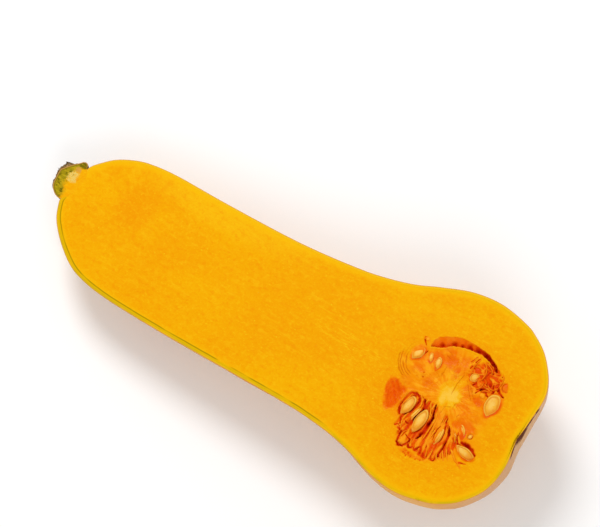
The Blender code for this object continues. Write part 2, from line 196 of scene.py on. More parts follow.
def hollowEnd(points):  # pushes in the blossom end beside its scar
    x, y, z = points[..., 0], points[..., 1], points[..., 2]
    side = between(-15.0, 1.0, y) * (1 - between(14.0, 30.0, y)) * (1 - 0.38 * between(-9.0, -1.0, z))
    moved = points.copy()
    moved[..., 0] -= fruit["hollow"] * side * between(-52.0, -26.0, z) * between(270.0, 283.0, x)
    return moved


def restTilt():  # lays the underside on the table at two places, one each side of the weight
    lowest = skinPoints(smoothRun(fruit["stations"], 2), np.array([pi / 2]))[:, 0]
    lines = []
    for fore in lowest[lowest[:, 0] < fruit["weightX"]]:
        for aft in lowest[lowest[:, 0] > fruit["weightX"]]:
            slope = (aft[2] - fore[2]) / (aft[0] - fore[0])
            lines.append((fore[2] + slope * (fruit["weightX"] - fore[0]), slope))
    return -atan(min(lines)[1])


def fruitToTable():  # the matrix that takes fruit mm to metres on the table, fitted to the CAD's own half
    tilt = restTilt()
    turn = Matrix.Rotation(-tilt, 3, "Y")
    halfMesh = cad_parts["squash_half"].data
    points = np.array([v.co for v in halfMesh.vertices]) * 1000
    local = points @ np.array(turn)
    run = smoothRun(fruit["stations"], 2)
    origin = Vector((
        local[:, 0].max() - max(run[:, 0].max(), run[:, 2].max()),
        local[:, 1].max() - run[:, 1].max(),
        local[:, 2].max(),
    ))
    place = Matrix.Translation((turn @ origin) * 0.001) @ turn.to_4x4() @ Matrix.Scale(0.001, 4)
    print("stage: frame, tilt", round(degrees(tilt), 3), "origin mm", [round(v, 3) for v in turn @ origin])
    return place, tilt


toTable, tilt = fruitToTable()
frameOrigin = toTable.to_translation()
stationRun = smoothRun(fruit["stations"], 40)
skinRun = evenRun(stationRun, fruit["rows"])
outline = evenRun(stationRun, 900)
faceLine = np.concatenate([outline[:, :2], outline[::-1, 2:]])[::2]  # the cut face's outline, rind included
faceLine = np.vstack([faceLine, faceLine[:1]])


def cavityRim(angle):
    count = len(cavity["rim"])
    place = (angle / (2 * pi)) % 1.0 * count
    first = int(place) % count
    near = [np.array(cavity["rim"][(first + k) % count]) for k in (-1, 0, 1, 2)]
    return curvePoint(*near, place - int(place))


def wobble(points, scale, seed=0.0):  # smooth noise from -1 to 1 at each point
    shift = Vector((seed * 13.7, seed * 7.1, seed * 3.3))
    return np.array([noise.noise(Vector(p) * scale + shift) for p in points])


def pathDistance(x, y, path):  # from each point to a line: its distance, and the line's width there
    path = np.array(path, float)
    if path.shape[1] == 2:
        path = np.column_stack([path, np.ones(len(path))])
    best = np.full(x.shape, 1e9)
    width = np.ones(x.shape)
    for (ax, ay, aw), (bx, by, bw) in zip(path[:-1], path[1:]):
        length = np.hypot(bx - ax, by - ay)
        t = np.clip(((x - ax) * (bx - ax) + (y - ay) * (by - ay)) / length**2, 0, 1)
        gap = np.hypot(x - ax - t * (bx - ax), y - ay - t * (by - ay))
        closer = gap < best
        best = np.where(closer, gap, best)
        width = np.where(closer, aw + t * (bw - aw), width)
    return best, width


def insideBy(x, y, corners):  # how far each point is inside a closed outline, below 0 outside it
    corners = np.array(corners, float)
    inside = np.zeros(x.shape, bool)
    for (ax, ay), (bx, by) in zip(corners, np.roll(corners, -1, axis=0)):
        crossing = (ay > y) != (by > y)
        inside ^= crossing & (x < (bx - ax) * (y - ay) / (by - ay if by != ay else 1e-9) + ax)
    away = pathDistance(x, y, np.vstack([corners, corners[:1]]))[0]
    return np.where(inside, away, -away)


def reachIn(x, y, spot):  # 0 in the middle of an ellipse, 1 on its edge; spot is its middle and half sizes
    middleX, middleY, halfX, halfY = spot
    return np.hypot((x - middleX) / halfX, (y - middleY) / halfY)


def flatPlaces(x, y):
    return np.column_stack([x, y, np.zeros(len(x))])


# Meshes

def gridSheet(points):  # a bmesh grid whose points are moved to an array of rows and columns
    rows, columns = points.shape[:2]
    bm = bmesh.new()
    bmesh.ops.create_grid(bm, x_segments=rows - 1, y_segments=columns - 1, size=1.0)
    for vertex in bm.verts:
        row = round((vertex.co.x + 1) / 2 * (rows - 1))
        column = round((vertex.co.y + 1) / 2 * (columns - 1))
        vertex.co = points[row, column]
    bmesh.ops.remove_doubles(bm, verts=bm.verts, dist=0.004)
    bmesh.ops.recalc_face_normals(bm, faces=bm.faces)
    return bm


def meshObject(name, bm, *finishes):
    mesh = bpy.data.meshes.new(name)
    bm.to_mesh(mesh)
    bm.free()
    for finish in finishes:
        mesh.materials.append(finish)
    piece = bpy.data.objects.new(name, mesh)
    bpy.context.scene.collection.objects.link(piece)
    return piece


def addTo(whole, bm):  # adds one mesh to another
    part = bpy.data.meshes.new("part")
    bm.to_mesh(part)
    bm.free()
    whole.from_mesh(part)
    bpy.data.meshes.remove(part)


def meshPoints(piece):
    flat = np.zeros(len(piece.data.vertices) * 3, np.float32)
    piece.data.vertices.foreach_get("co", flat)
    return flat.reshape(-1, 3).astype(float)


def setPoints(piece, points):
    piece.data.vertices.foreach_set("co", points.astype(np.float32).ravel())
    piece.data.update()


def paint(piece, name, *channels):  # up to four numbers for each vertex, which the finish reads
    values = np.ones((len(channels[0]), 4), np.float32)
    for k, channel in enumerate(channels):
        values[:, k] = channel
    layer = piece.data.color_attributes.new(name, "FLOAT_COLOR", "POINT")
    layer.data.foreach_set("color", values.ravel())


def settle(piece, slotName, *nodes, sharp=40):  # into the table's frame, smooth, and riding on the part
    piece.data.transform(toTable)
    piece.data.shade_smooth()
    piece.data.set_sharp_from_angle(angle=radians(sharp))
    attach(piece, "root")
    if nodes:
        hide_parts(*nodes)
    print("stage:", piece.name, sum(len(f.vertices) - 2 for f in piece.data.polygons), "triangles")
    return piece


# Finishes

def srgb(red, green, blue):  # a colour as a picture shows it under this light, made linear

    def linear(value):
        value /= 255
        value = value / 12.92 if value <= 0.04045 else ((value + 0.055) / 1.055) ** 2.4
        return value / studio["level"]
    return (linear(red), linear(green), linear(blue), 1.0)


class Wire:  # a socket that takes part in sums
    def __init__(self, finish, socket):
        self.finish = finish
        self.socket = socket

    def maths(self, operation, *values):
        return self.finish.node("ShaderNodeMath", {"operation": operation}, *values)

    def __add__(self, other):
        return self.maths("ADD", self, other)

    def __sub__(self, other):
        return self.maths("SUBTRACT", self, other)

    def __rsub__(self, other):
        return self.maths("SUBTRACT", other, self)

    def __mul__(self, other):
        return self.maths("MULTIPLY", self, other)

    def __truediv__(self, other):
        return self.maths("DIVIDE", self, other)

    def __pow__(self, other):
        return self.maths("POWER", self, other)

    def size(self):
        return self.maths("ABSOLUTE", self)

    __radd__ = __add__
    __rmul__ = __mul__


class Finish:
    def __init__(self, name, **constants):
        self.material = bpy.data.materials.new(name)
        self.material.use_nodes = True
        self.tree = self.material.node_tree
        self.shader = self.tree.nodes["Principled BSDF"]
        for socket, value in constants.items():
            self.shader.inputs[socket.replace("_", " ")].default_value = value
        coords = self.node("ShaderNodeTexCoord", {"out": "Object"})
        self.spot = self.node(
            "ShaderNodeMapping",
            {"vector_type": "TEXTURE"},
            coords,
            tuple(frameOrigin),
            (0.0, -tilt, 0.0),
            (0.001, 0.001, 0.001),
        )  # the place in fruit mm
        self.x, self.y, self.z = self.split("ShaderNodeSeparateXYZ", self.spot)

    def node(self, kind, settings, *values, **named):  # settings also say which output is wanted
        made = self.tree.nodes.new(kind)
        settings = dict(settings)
        out = settings.pop("out", 0)
        for name, value in settings.items():
            setattr(made, name, value)
        for key, value in [*enumerate(values), *named.items()]:
            if value is None:
                continue
            socket = made.inputs[key if isinstance(key, int) else key.replace("_", " ")]
            if isinstance(value, Wire):
                self.tree.links.new(value.socket, socket)
            else:
                socket.default_value = value
        return Wire(self, made.outputs[out])

    def split(self, kind, value):  # the three numbers of a vector or a colour
        return [Wire(self, socket) for socket in self.node(kind, {}, value).socket.node.outputs]

    def attribute(self, name):  # the painted numbers
        colour = self.node("ShaderNodeAttribute", {"attribute_name": name, "out": "Color"})
        return self.split("ShaderNodeSeparateColor", colour)

    def turnOf(self, up, along):  # the heading of a place
        return self.node("ShaderNodeMath", {"operation": "ARCTAN2"}, up, along)

    def place(self, x, y):
        return self.node("ShaderNodeCombineXYZ", {}, x, y, 0.0)

    def stretch(self, x, y, z, shift=0.0):  # the place, scaled along each axis
        scaled = self.node("ShaderNodeVectorMath", {"operation": "MULTIPLY"}, self.spot, (x, y, z))
        return self.node("ShaderNodeVectorMath", {"operation": "ADD"}, scaled, (shift, shift, shift))

    def noise(self, place, detail=3.0, rough=0.5, twist=0.0):  # place is a wire, or what stretch takes
        where = place if isinstance(place, Wire) else self.stretch(*place)
        kind = "ShaderNodeTexNoise"
        return self.node(kind, {}, Vector=where, Scale=1.0, Detail=detail, Roughness=rough, Distortion=twist)

    def cells(self, place):
        return self.node("ShaderNodeTexVoronoi", {"out": "Distance"}, Vector=self.stretch(*place), Scale=1.0)

    def step(self, value, low, high):  # smooth, from 0 at low to 1 at high
        smooth = {"interpolation_type": "SMOOTHSTEP"}
        return self.node("ShaderNodeMapRange", smooth, value, low, high, 0.0, 1.0)

    def reach(self, across, up, middle, radii):  # squared: 0 in the middle of an ellipse, 1 on its edge
        across = (across - middle[0]) / radii[0]
        up = (up - middle[1]) / radii[1]
        return across * across + up * up

    def blob(self, middle, radii, soft):  # 1 inside an ellipse on the cut face, softly down to 0 outside
        return 1 - self.step(self.reach(self.x, self.y, middle, radii), 1 - soft, 1 + soft)

    def mix(self, first, second, share):
        plain = [None] * 5  # the node's sockets for numbers and vectors, between the share and the colours
        return self.node("ShaderNodeMix", {"data_type": "RGBA", "out": 2}, share, *plain, first, second)

    def lay(self, look, colour, *coats):  # lays named colours over one another, each by its share
        for name, share in coats:
            colour = self.mix(colour, look[name], share)
        return colour

    def finished(self, colour, roughness, relief, distance, strength):
        bump = self.node("ShaderNodeBump", {}, Height=relief, Distance=distance, Strength=strength)
        for socket, value in (("Base Color", colour), ("Roughness", roughness), ("Normal", bump)):
            self.feed(socket, value)
        return self.material

    def feed(self, socket, value):
        self.tree.links.new(value.socket, self.shader.inputs[socket])


fleshLook = {
    "yellow": srgb(246, 175, 0),
    "orange": srgb(244, 161, 0),
    "deep": srgb(242, 144, 0),
    "pale": srgb(250, 196, 16),
    "rim": srgb(250, 192, 6),
    "green": srgb(206, 176, 0),
    "greenLine": srgb(120, 112, 4),
    "patches": (  # a colour, the middle and radii of an ellipse, how soft its edge is, share
        ("deep", cavity["centre"], (39.0, 40.0), 0.45, 0.42),
        ("deep", (41.0, 7.0), (11.0, 13.0), 0.9, 0.55),
        ("pale", (90.0, 27.0), (50.0, 9.0), 0.9, 0.42),
        ("orange", (160.0, 4.0), (54.0, 24.0), 0.9, 0.55),
    ),
    "fan": (41.0, 7.0),  # where the neck's broad streaks meet
}


def fleshSurface(finish):  # colour, roughness and relief of cut flesh, alike where the pulp grows into it
    look = fleshLook
    broad = finish.noise((0.02, 0.035, 0.035), detail=2.0)
    grain = finish.noise((0.10, 0.55, 0.55), detail=5.0, rough=0.62, twist=0.8)
    cell = finish.noise((0.85, 1.2, 1.2, 4.0), detail=4.0, rough=0.7)
    mottle = finish.noise((0.30, 0.42, 0.42, 12.0), rough=0.6, twist=0.7)
    thread = (finish.noise((0.035, 0.42, 0.42, 9.0), twist=1.2) - 0.5).size()
    threaded = finish.step(finish.noise((0.03, 0.05, 0.05, 20.0), detail=1.0), 0.52, 0.68) * 0.5
    threaded = threaded + finish.blob((182.0, 1.5), (25.0, 4.5), 0.6) * 0.9
    fromX, fromY = finish.x - look["fan"][0], finish.y - look["fan"][1]
    reach = (fromX**2 + fromY**2) ** 0.5
    ray = finish.place(finish.turnOf(fromY, fromX) * 2.6, reach * 0.06)
    ray = finish.noise(ray, detail=4.0, rough=0.6, twist=0.8)
    inFan = (1 - finish.step(reach, 18.0, 40.0)) * finish.step(reach, 2.0, 14.0)
    bead = (1 - finish.step(finish.cells((0.22, 0.22, 0.22, 2.0)), 0.05, 0.12)) * finish.step(broad, 0.4, 0.6)
    colour = finish.lay(look, look["yellow"], ("orange", finish.step(broad, 0.30, 0.72) * 0.75))
    for name, middle, radii, soft, share in look["patches"]:
        colour = finish.mix(colour, look[name], finish.blob(middle, radii, soft) * share)
    colour = finish.lay(
        look, colour,
        ("yellow", (1 - finish.step(finish.x, 2.0, 26.0)) * 0.5),  # by the stem
        ("deep", finish.step(grain, 0.54, 0.80) * 0.40),
        ("pale", (1 - finish.step(grain, 0.24, 0.46)) * 0.36),
        ("pale", finish.step(cell, 0.54, 0.70) * 0.80),
        ("deep", (1 - finish.step(cell, 0.30, 0.46)) * 0.60),
        ("pale", finish.step(mottle, 0.50, 0.72) * 0.34),
        ("deep", (1 - finish.step(mottle, 0.28, 0.48)) * 0.46),
        ("pale", (1 - finish.step(thread, 0.0, 0.026)) * threaded * 0.75),
        ("pale", finish.step(ray, 0.52, 0.80) * inFan * 0.5),
        ("deep", (1 - finish.step(ray, 0.26, 0.50)) * inFan * 0.45),
        ("pale", bead * 0.9),
    )
    moist = finish.noise((0.25, 0.35, 0.35, 7.0))
    return colour, 0.40 + moist * 0.22 - bead * 0.2, grain * 0.6 + cell * 0.5 + bead * 0.6


def fleshFinish():
    finish = Finish("cutFleshFinish", Specular_IOR_Level=0.015)
    colour, roughness, relief = fleshSurface(finish)
    rim, side = finish.attribute("edge")[:2]  # mm from the rind, 1 where the green shows
    wander = finish.noise((0.11, 0.11, 0.11), detail=2.0) * 2.0 - 1.0
    greenish = (1 - finish.step(rim + wander * 0.6, 0.1, 1.7)) * (side * (0.55 + wander * 0.5) + 0.04)
    line = 1 - finish.step((rim - 1.15 - wander * 0.22).size(), 0.12, 0.52)
    line *= 1 - finish.step(finish.x, 258.0, 270.0)
    faint = finish.step(finish.noise((0.06, 0.06, 0.06, 3.0), detail=1.0), 0.34, 0.50)
    colour = finish.lay(
        fleshLook, colour,
        ("rim", (1 - finish.step(rim + wander, 0.6, 4.2)) * 0.62),
        ("green", greenish),
        ("greenLine", line * finish.step(side, 0.55, 0.85) * faint * 0.65),
    )
    return finish.finished(colour, roughness, relief, 0.00022, 0.5)


rindLook = {
    "skin": srgb(240, 178, 98),
    "warm": srgb(222, 140, 54),
    "pink": srgb(220, 172, 130),
    "streak": srgb(250, 214, 164),
    "fleck": srgb(186, 122, 58),
    "corky": srgb(196, 146, 96),
    "scar": srgb(92, 30, 0),
    "green": srgb(170, 160, 70),
    "cutEdge": srgb(246, 190, 12),
    "cutGreen": srgb(196, 170, 4),
    "cutSkin": srgb(214, 140, 60),
}


def rindFinish():
    finish = Finish("rindFinish", Specular_IOR_Level=0.04)
    look = rindLook
    across, blossom = finish.attribute("wall")[:2]  # 0 outside to 1 inside; 1 at the blossom scar
    broad = finish.noise((0.018, 0.035, 0.035, 2.0))
    turned = finish.place(finish.x * 0.010, finish.turnOf(finish.z, finish.y) * 6.0)
    streak = finish.noise(turned, detail=4.0, rough=0.6)
    pores = finish.cells((0.7, 0.7, 0.7))
    fleck = finish.step(finish.noise((0.085, 0.13, 0.13, 5.0), detail=7.0, rough=0.75), 0.625, 0.665)
    ragged = finish.noise((0.30, 0.16, 0.45, 1.0), detail=5.0, rough=0.7)
    corky = finish.step(blossom + (ragged - 0.5) * 0.9, 0.30, 0.55)
    crumbs = finish.noise((1.4, 1.4, 1.4, 11.0), rough=0.6)
    scar = finish.step(blossom + (ragged - 0.5) * 1.2 + (crumbs - 0.5) * 0.5, 0.52, 0.76)
    colour = finish.lay(
        look, look["skin"],
        ("warm", finish.step(broad, 0.40, 0.72) * 0.75),
        ("streak", finish.step(streak, 0.50, 0.70) * 0.45),
        ("pink", finish.step(finish.x, 262.0, 284.0) * 0.7),
        ("green", (1 - finish.step(finish.x, 4.0, 24.0)) * finish.step(streak, 0.42, 0.6) * 0.4),
        ("streak", (1 - finish.step(pores, 0.05, 0.22)) * 0.30),
        ("fleck", fleck * 0.7),
        ("corky", corky * 0.8),
        ("scar", scar * 0.95),
    )
    top = finish.step(finish.z, -0.12, 0.0)
    lower = 1 - finish.step(finish.y, -22.0, 6.0)
    sap = finish.noise((0.08, 0.08, 0.08, 6.0), detail=2.0)
    cut = finish.lay(
        look, look["cutEdge"],
        ("cutGreen", lower * (0.25 + 0.45 * finish.step(sap, 0.4, 0.62))),
        ("cutSkin", (1 - finish.step(across + (sap - 0.5) * 0.3, 0.12, 0.42)) * 0.85),
    )
    colour = finish.mix(colour, cut, top * (1 - scar * (1 - finish.step(across, 0.0, 0.3))))
    fine = finish.noise((1.1, 1.1, 1.1, 8.0))
    relief = fine * 0.25 + fleck * 0.7 + streak * 0.4 - pores * 0.3 + corky * ragged
    return finish.finished(colour, 0.44 + fleck * 0.25 + corky * 0.2, relief, 0.00025, 0.7)


pulpLook = {
    "pulp": srgb(246, 130, 0),
    # bright is the pale fibre colour, and also serves as painted highlight on raised parts
    "bright": srgb(255, 166, 24),
    "tint": srgb(238, 92, 0),
    # red, dark and black are painted shade, deepening into gaps, pits and hollows
    "red": srgb(230, 78, 0),
    "dark": srgb(206, 40, 0),
    "black": srgb(176, 12, 0),
    "core": srgb(252, 197, 64),
    "coreYellow": srgb(248, 184, 6),
    "line": srgb(204, 88, 0),
}


def pulpFinish():
    finish = Finish("pulpFinish", Specular_IOR_Level=0.015, Coat_Roughness=0.2)
    look = pulpLook
    flesh, roughness, relief = fleshSurface(finish)
    shade, pulpy, pale = finish.attribute("pulpTone")  # shares of shadow, of pulp and of the core's colour
    tint, groove, streaky = finish.attribute("pulpMark")  # shares of red and of a line, and how pale it is: pale fibre, and painted highlight on raised parts
    fibre = finish.noise((0.55, 0.55, 0.55, 3.0), detail=5.0, rough=0.65, twist=1.5)
    soft = finish.lay(
        look, look["pulp"],
        ("bright", finish.step(fibre * 0.35 + streaky * 0.65, 0.36, 0.72)),
        ("tint", tint * (0.78 + fibre * 0.4)),
    )
    shadow = shade + (fibre - 0.5) * 0.16
    colour = finish.lay(
        look, finish.mix(flesh, soft, pulpy),
        ("coreYellow", finish.step(pale + (fibre - 0.5) * 0.5, 0.0, 0.62) * 0.9),
        ("core", finish.step(pale + (fibre - 0.5) * 0.9, 0.38, 1.15)),
        ("line", groove * 0.75),
        ("red", finish.step(shadow, 0.06, 0.36)),
        ("dark", finish.step(shadow, 0.34, 0.68)),
        ("black", finish.step(shadow, 0.66, 0.98) * 0.9),
    )
    finish.feed("Coat Weight", finish.step(pulpy, 0.70, 1.0) * finish.step(fibre, 0.35, 0.65) * 0.05)
    roughness = roughness * (1 - pulpy) + (0.26 + fibre * 0.2) * pulpy
    return finish.finished(colour, roughness, relief * (1 - pulpy) + fibre * 1.1 * pulpy, 0.00022, 0.5)


seedLook = {
    "shell": srgb(248, 178, 42),
    "paintedHighlight": srgb(255, 214, 108),
    "margin": srgb(255, 206, 84),
    "stain": srgb(242, 150, 20),
    "shade": srgb(234, 146, 24),
    "groove": srgb(216, 118, 20),
}


def seedFinish():
    finish = Finish("seedFinish", Specular_IOR_Level=0.14)
    look = seedLook
    edge, stain, away = finish.attribute("seedTone")  # 1 at the rim, share of stain, 1 on the unlit side
    mottle = finish.noise((0.5, 0.5, 0.5), detail=4.0, rough=0.6)
    inner = 1 - finish.step(edge, 0.15, 0.62)
    lit = 1 - finish.step(away + mottle, -0.5, 0.5)
    # the seed's middle and lit side get a painted highlight, its other side painted shade
    colour = finish.lay(
        look, look["shell"],
        ("shade", finish.step(mottle, 0.42, 0.72) * 0.5),
        ("paintedHighlight", inner * finish.step(mottle, 0.3, 0.55) * 0.6),
        ("groove", finish.step(edge, 0.58, 0.72) * (1 - finish.step(edge, 0.80, 0.88)) * 0.42),
        ("margin", finish.step(edge, 0.82, 0.90) * (1 - finish.step(edge, 0.95, 0.99)) * 0.8),
        ("groove", finish.step(edge, 0.96, 0.995) * 0.35),
        ("shade", finish.step(away + (mottle - 0.5) * 0.8, 0.05, 0.85) * 0.60),
        ("paintedHighlight", lit * (1 - finish.step(edge, 0.5, 0.8)) * 0.6),
        ("stain", finish.step(stain + (mottle - 0.5) * 0.9, 0.35, 0.95) * 0.85),
    )
    return finish.finished(colour, 0.32 + mottle * 0.18, mottle, 0.0001, 0.4)


stemLook = {
    "bark": srgb(134, 100, 56),
    "barkPale": srgb(196, 164, 112),
    "barkDark": srgb(44, 28, 14),
    "olive": srgb(160, 140, 14),
    "oliveDark": srgb(112, 98, 6),
    "oliveYellow": srgb(204, 174, 26),
    "cream": srgb(234, 202, 104),
    "tan": srgb(206, 150, 78),
}


def stemFinish():
    finish = Finish("corkFinish", Specular_IOR_Level=0.03)
    look = stemLook
    baseX, baseY = stem["base"][:2]
    outX, outY = stem["seatNormal"][:2]
    outward = (finish.x - baseX) * outX + (finish.y - baseY) * outY  # mm out from the seat
    side = (finish.x - baseX) * outY - (finish.y - baseY) * outX  # mm to its upper side
    edge, bark = finish.attribute("stemTone")[:2]  # mm from the face's outline, share of rough bark
    run = finish.noise((0.22, 1.0, 1.0), detail=5.0, rough=0.7, twist=0.4)
    crumbs = finish.noise((1.3, 1.3, 1.3, 2.0), detail=4.0, rough=0.7)
    blotch = finish.noise((0.40, 0.40, 0.40, 5.0), detail=4.0, rough=0.6)
    colour = finish.lay(
        look, look["bark"],
        ("barkPale", finish.step(run, 0.46, 0.66)),
        ("barkDark", (1 - finish.step(crumbs, 0.36, 0.52)) * 0.7),
    )
    rough = finish.lay(look, look["barkDark"], ("bark", finish.step(crumbs, 0.46, 0.66)))
    colour = finish.mix(colour, rough, finish.step(bark + (crumbs - 0.5) * 0.9, 0.30, 0.75))
    flesh, roughness, relief = fleshSurface(finish)
    olive = finish.lay(
        look, look["olive"],
        ("oliveDark", finish.step(blotch, 0.48, 0.60)),
        ("oliveYellow", (1 - finish.step(run, 0.40, 0.54)) * 0.7),
    )
    low = finish.step(0 - side, 3.0, 7.5) * 3.4
    high = finish.step(side, 7.0, 10.5) * 2.6
    face = finish.mix(flesh, olive, finish.step(outward + low + high + (blotch - 0.5) * 7.0, 2.4, 6.4))
    middle = finish.mix(look["cream"], flesh, finish.step(crumbs, 0.50, 0.62))
    pith = finish.reach(outward, side, (3.2, 2.4), (3.0, 3.3)) + (blotch - 0.5) * 5.0 + (run - 0.5) * 3.0
    face = finish.mix(face, middle, 1 - finish.step(pith, 0.2, 1.5))
    rosy = finish.reach(outward, side, (3.4, 7.4), (1.8, 1.6)) + (blotch - 0.5) * 4.0
    collar = finish.reach(outward, side, (2.4, 11.4), (2.6, 2.2)) + (blotch - 0.5) * 2.0
    collar = 1 - finish.step(collar, 0.5, 1.1)
    outer = finish.step(outward, 0.2, 1.4)
    face = finish.lay(
        look, face,
        ("tan", (1 - finish.step(rosy, 0.3, 1.4)) * 0.6),
        ("oliveDark", collar * 0.9),
        ("oliveYellow", collar * finish.step(crumbs, 0.56, 0.64)),
        ("oliveDark", (1 - finish.step(edge + (run - 0.5) * 1.6, 0.6, 1.5)) * 0.7 * outer),
        ("tan", (1 - finish.step(edge + (crumbs - 0.5) * 0.5, 0.28, 0.62)) * 0.9 * outer),
    )
    top = finish.step(finish.z, -0.12, -0.02)
    roughness = 0.85 * (1 - top) + (roughness + 0.12) * top
    relief = (run * 1.2 + crumbs) * (1 - top) * 2.5 + relief * top
    return finish.finished(finish.mix(colour, face, top), roughness, relief, 0.00022, 0.7)


# Flesh

def edgeDistance(points, elsewhere):  # which points lie on the cut face, and how far from its outline
    onFace = points[:, 2] > -0.01
    away = np.full(len(points), elsewhere)
    away[onFace] = pathDistance(points[onFace, 0], points[onFace, 1], faceLine)[0]
    return onFace, away


def insetGrid(points, thickness):  # the same grid, moved in along its normals
    byRow = np.gradient(points, axis=0)
    byColumn = np.gradient(points, axis=1)
    normal = np.cross(byRow, byColumn)
    length = np.linalg.norm(normal, axis=2, keepdims=True)
    normal = normal / np.maximum(length, 1e-9)
    if (normal * (points - points.mean(axis=1, keepdims=True))).sum() < 0:
        normal = -normal
    normal[0] = (-1, 0, 0)
    normal[-1] = (1, 0, 0)
    inner = points - normal * thickness
    inner[:, 0, 2] = 0
    inner[:, -1, 2] = 0
    return inner


def fleshPiece(finish):
    under = insetGrid(skinPoints(skinRun, np.linspace(0, pi, fruit["under"])), fruit["rindThickness"])
    share = np.linspace(0, 1, fruit["across"] + 1)
    share = share - 0.11 * np.sin(2 * pi * share)  # closer together at the edges
    first, last = under[:, -1][:, None, :], under[:, 0][:, None, :]
    top = first + (last - first) * share[None, :, None]
    grid = np.concatenate([under, top[:, 1:]], axis=1)
    piece = meshObject("cutFlesh", gridSheet(grid), finish)
    cutter = bowl("fleshCutter")
    cut = piece.modifiers.new("cavity", "BOOLEAN")
    cut.operation = "DIFFERENCE"
    cut.object = cutter
    graph = bpy.context.evaluated_depsgraph_get()
    mesh = bpy.data.meshes.new_from_object(piece.evaluated_get(graph))
    piece.modifiers.clear()
    piece.data = mesh
    bpy.data.objects.remove(cutter)
    points = meshPoints(piece)
    x, y = points[:, 0], points[:, 1]
    onFace, edge = edgeDistance(points, 30.0)
    edge = np.maximum(edge - fruit["rindThickness"], 0)
    green = (1 - between(-16.0, 4.0, y)) * (1 - 0.5 * between(178.0, 205.0, x))
    green = np.maximum(green, between(270.0, 280.0, x) * 0.5)
    green = np.maximum(green, between(30.0, 50.0, y) * between(190, 215, x) * 0.35)
    paint(piece, "edge", edge, green)
    calm = between(0.0, 3.0, edge) * onFace * between(1.02, 1.2, reachIn(x, y, cavity["calm"]))
    lift = 0.10 * wobble(points, 0.05, 1) + 0.05 * wobble(points * (0.3, 1, 1), 0.4, 2)
    points[:, 2] += lift * calm
    setPoints(piece, hollowEnd(points))
    return settle(piece, "flesh", "squash_half")


def bowl(name):  # a closed bowl under the cavity's rim, for cutting
    bm = bmesh.new()
    bmesh.ops.create_uvsphere(bm, u_segments=cavity["spokes"], v_segments=cavity["rings"], radius=1.0)
    centre = np.array(cavity["centre"])
    for vertex in bm.verts:
        reach = cavityRim(atan2(vertex.co.y, vertex.co.x)) - centre
        reach *= 1 + cavity["cutMargin"] / np.linalg.norm(reach)
        out = hypot(vertex.co.x, vertex.co.y)
        if vertex.co.z >= 0.01:
            out **= 0.25  # steep above the cut
        if vertex.co.z > 0.99:
            out = 0.0
        drop = cavity["depth"] if vertex.co.z < 0 else cavity["above"]
        vertex.co = (*(centre + reach * out), drop * vertex.co.z)
    return meshObject(name, bm)


# Rind

def rindPiece(finish):
    angles = np.linspace(0, pi, fruit["columns"])
    outer = skinPoints(skinRun, angles)
    inner = insetGrid(outer, fruit["rindThickness"] + 0.02)
    flat = outer.reshape(-1, 3)
    x, y, z = flat.T
    rough = sum(depth * wobble(flat, scale, seed) for depth, scale, seed in fruit["bumps"])
    creased = wobble(np.column_stack([x * 0.15, np.arctan2(z, y) * 6, x * 0]), 1.0, 5)
    creases = np.exp(-((x / fruit["creaseFade"]) ** 2)) * fruit["creaseDepth"] * creased
    scar = (1 - between(0.4, 1.2, reachIn(y, z, fruit["scarFloor"]))) * between(276.0, 280.0, x)
    scar = scar * (-0.30 + 0.45 * wobble(flat, 0.5, 6))
    lift = (rough + creases + scar).reshape(outer.shape[:2])
    normal = outer - inner
    normal /= np.maximum(np.linalg.norm(normal, axis=2, keepdims=True), 1e-9)
    fade = between(0, 0.10, np.sin(angles))[None, :, None] * 0.85 + 0.15
    outer = outer + normal * lift[:, :, None] * fade
    outer[:, 0, 2] = outer[:, -1, 2] = 0
    grid = np.concatenate([outer, inner[:, ::-1], outer[:, :1]], axis=1)
    piece = meshObject("rindShell", gridSheet(grid), finish)
    points = meshPoints(piece)
    across = np.clip(edgeDistance(points, 0.0)[1] / fruit["rindThickness"], 0, 1)
    blossom = np.zeros(len(points))
    for spot in fruit["scars"]:
        blossom = np.maximum(blossom, 1 - between(0.3, 1.7, reachIn(points[:, 1], points[:, 2], spot)))
    blossom *= between(272.0, 278.0, points[:, 0])
    paint(piece, "wall", across, blossom)
    setPoints(piece, hollowEnd(points))
    piece = settle(piece, "rind", sharp=55)
    points = meshPoints(piece)
    points[:, 2] = np.maximum(points[:, 2], 0.0)  # pressed flat where it rests
    setPoints(piece, points)
    return piece


# Seeds: x, y and depth of the middle, length, width, heading of the tip, roll, dip, how stained by pulp

seeds = {
    "places": (
        (216.2, 14.1, 0.62, 8.8, 5.6, 250, 10, 0, 0.31),
        (223.2, 15.2, 0.30, 5.8, 2.4, 292, 10, 0, 0.48),
        (228.0, 14.4, 0.36, 7.2, 3.6, 283, 10, 0, 0.36),
        (247.9, 17.6, 0.62, 5.6, 4.2, 62, 14, 0, 0.42),
        (262.9, 9.3, 0.7, 12.6, 7.8, 271, -8, 2, 0.00),
        (226.1, -11.8, 1.4, 11.6, 5.8, 260, 18, 2, 0.12),
        (235.5, -15.8, 1.4, 13.8, 6.2, 267, 14, 2, 0.08),
        (231.1, -14.4, 1.9, 11.2, 4.8, 260, 72, 3, 0.40),
        (248.0, -17.8, 1.0, 9.6, 4.4, 270, 40, 2, 0.35),
        (250.7, -18.8, 2.0, 7.0, 3.8, 264, 68, 2, 0.55),
        (257.2, -9.9, 1.2, 7.8, 3.8, 299, 40, 2, 0.55),
        (261.8, -9.9, 0.8, 3.0, 2.3, 250, 20, 0, 0.10),
        (254.7, -13.5, 1.6, 6.8, 3.0, 312, 66, 2, 0.45),
        (264.0, -18.2, 1.2, 12.0, 5.4, 168, -24, 0, 0.12),
    ),
    "thickness": 2.4,
    "taper": 0.52,
    "rimRings": ((0.34, 0.88, 0.065), (-0.14, 0.74, 0.08)),  # height, share of the way out, width
    "wave": 0.025,
    "around": 48,
    "rings": 28,
}


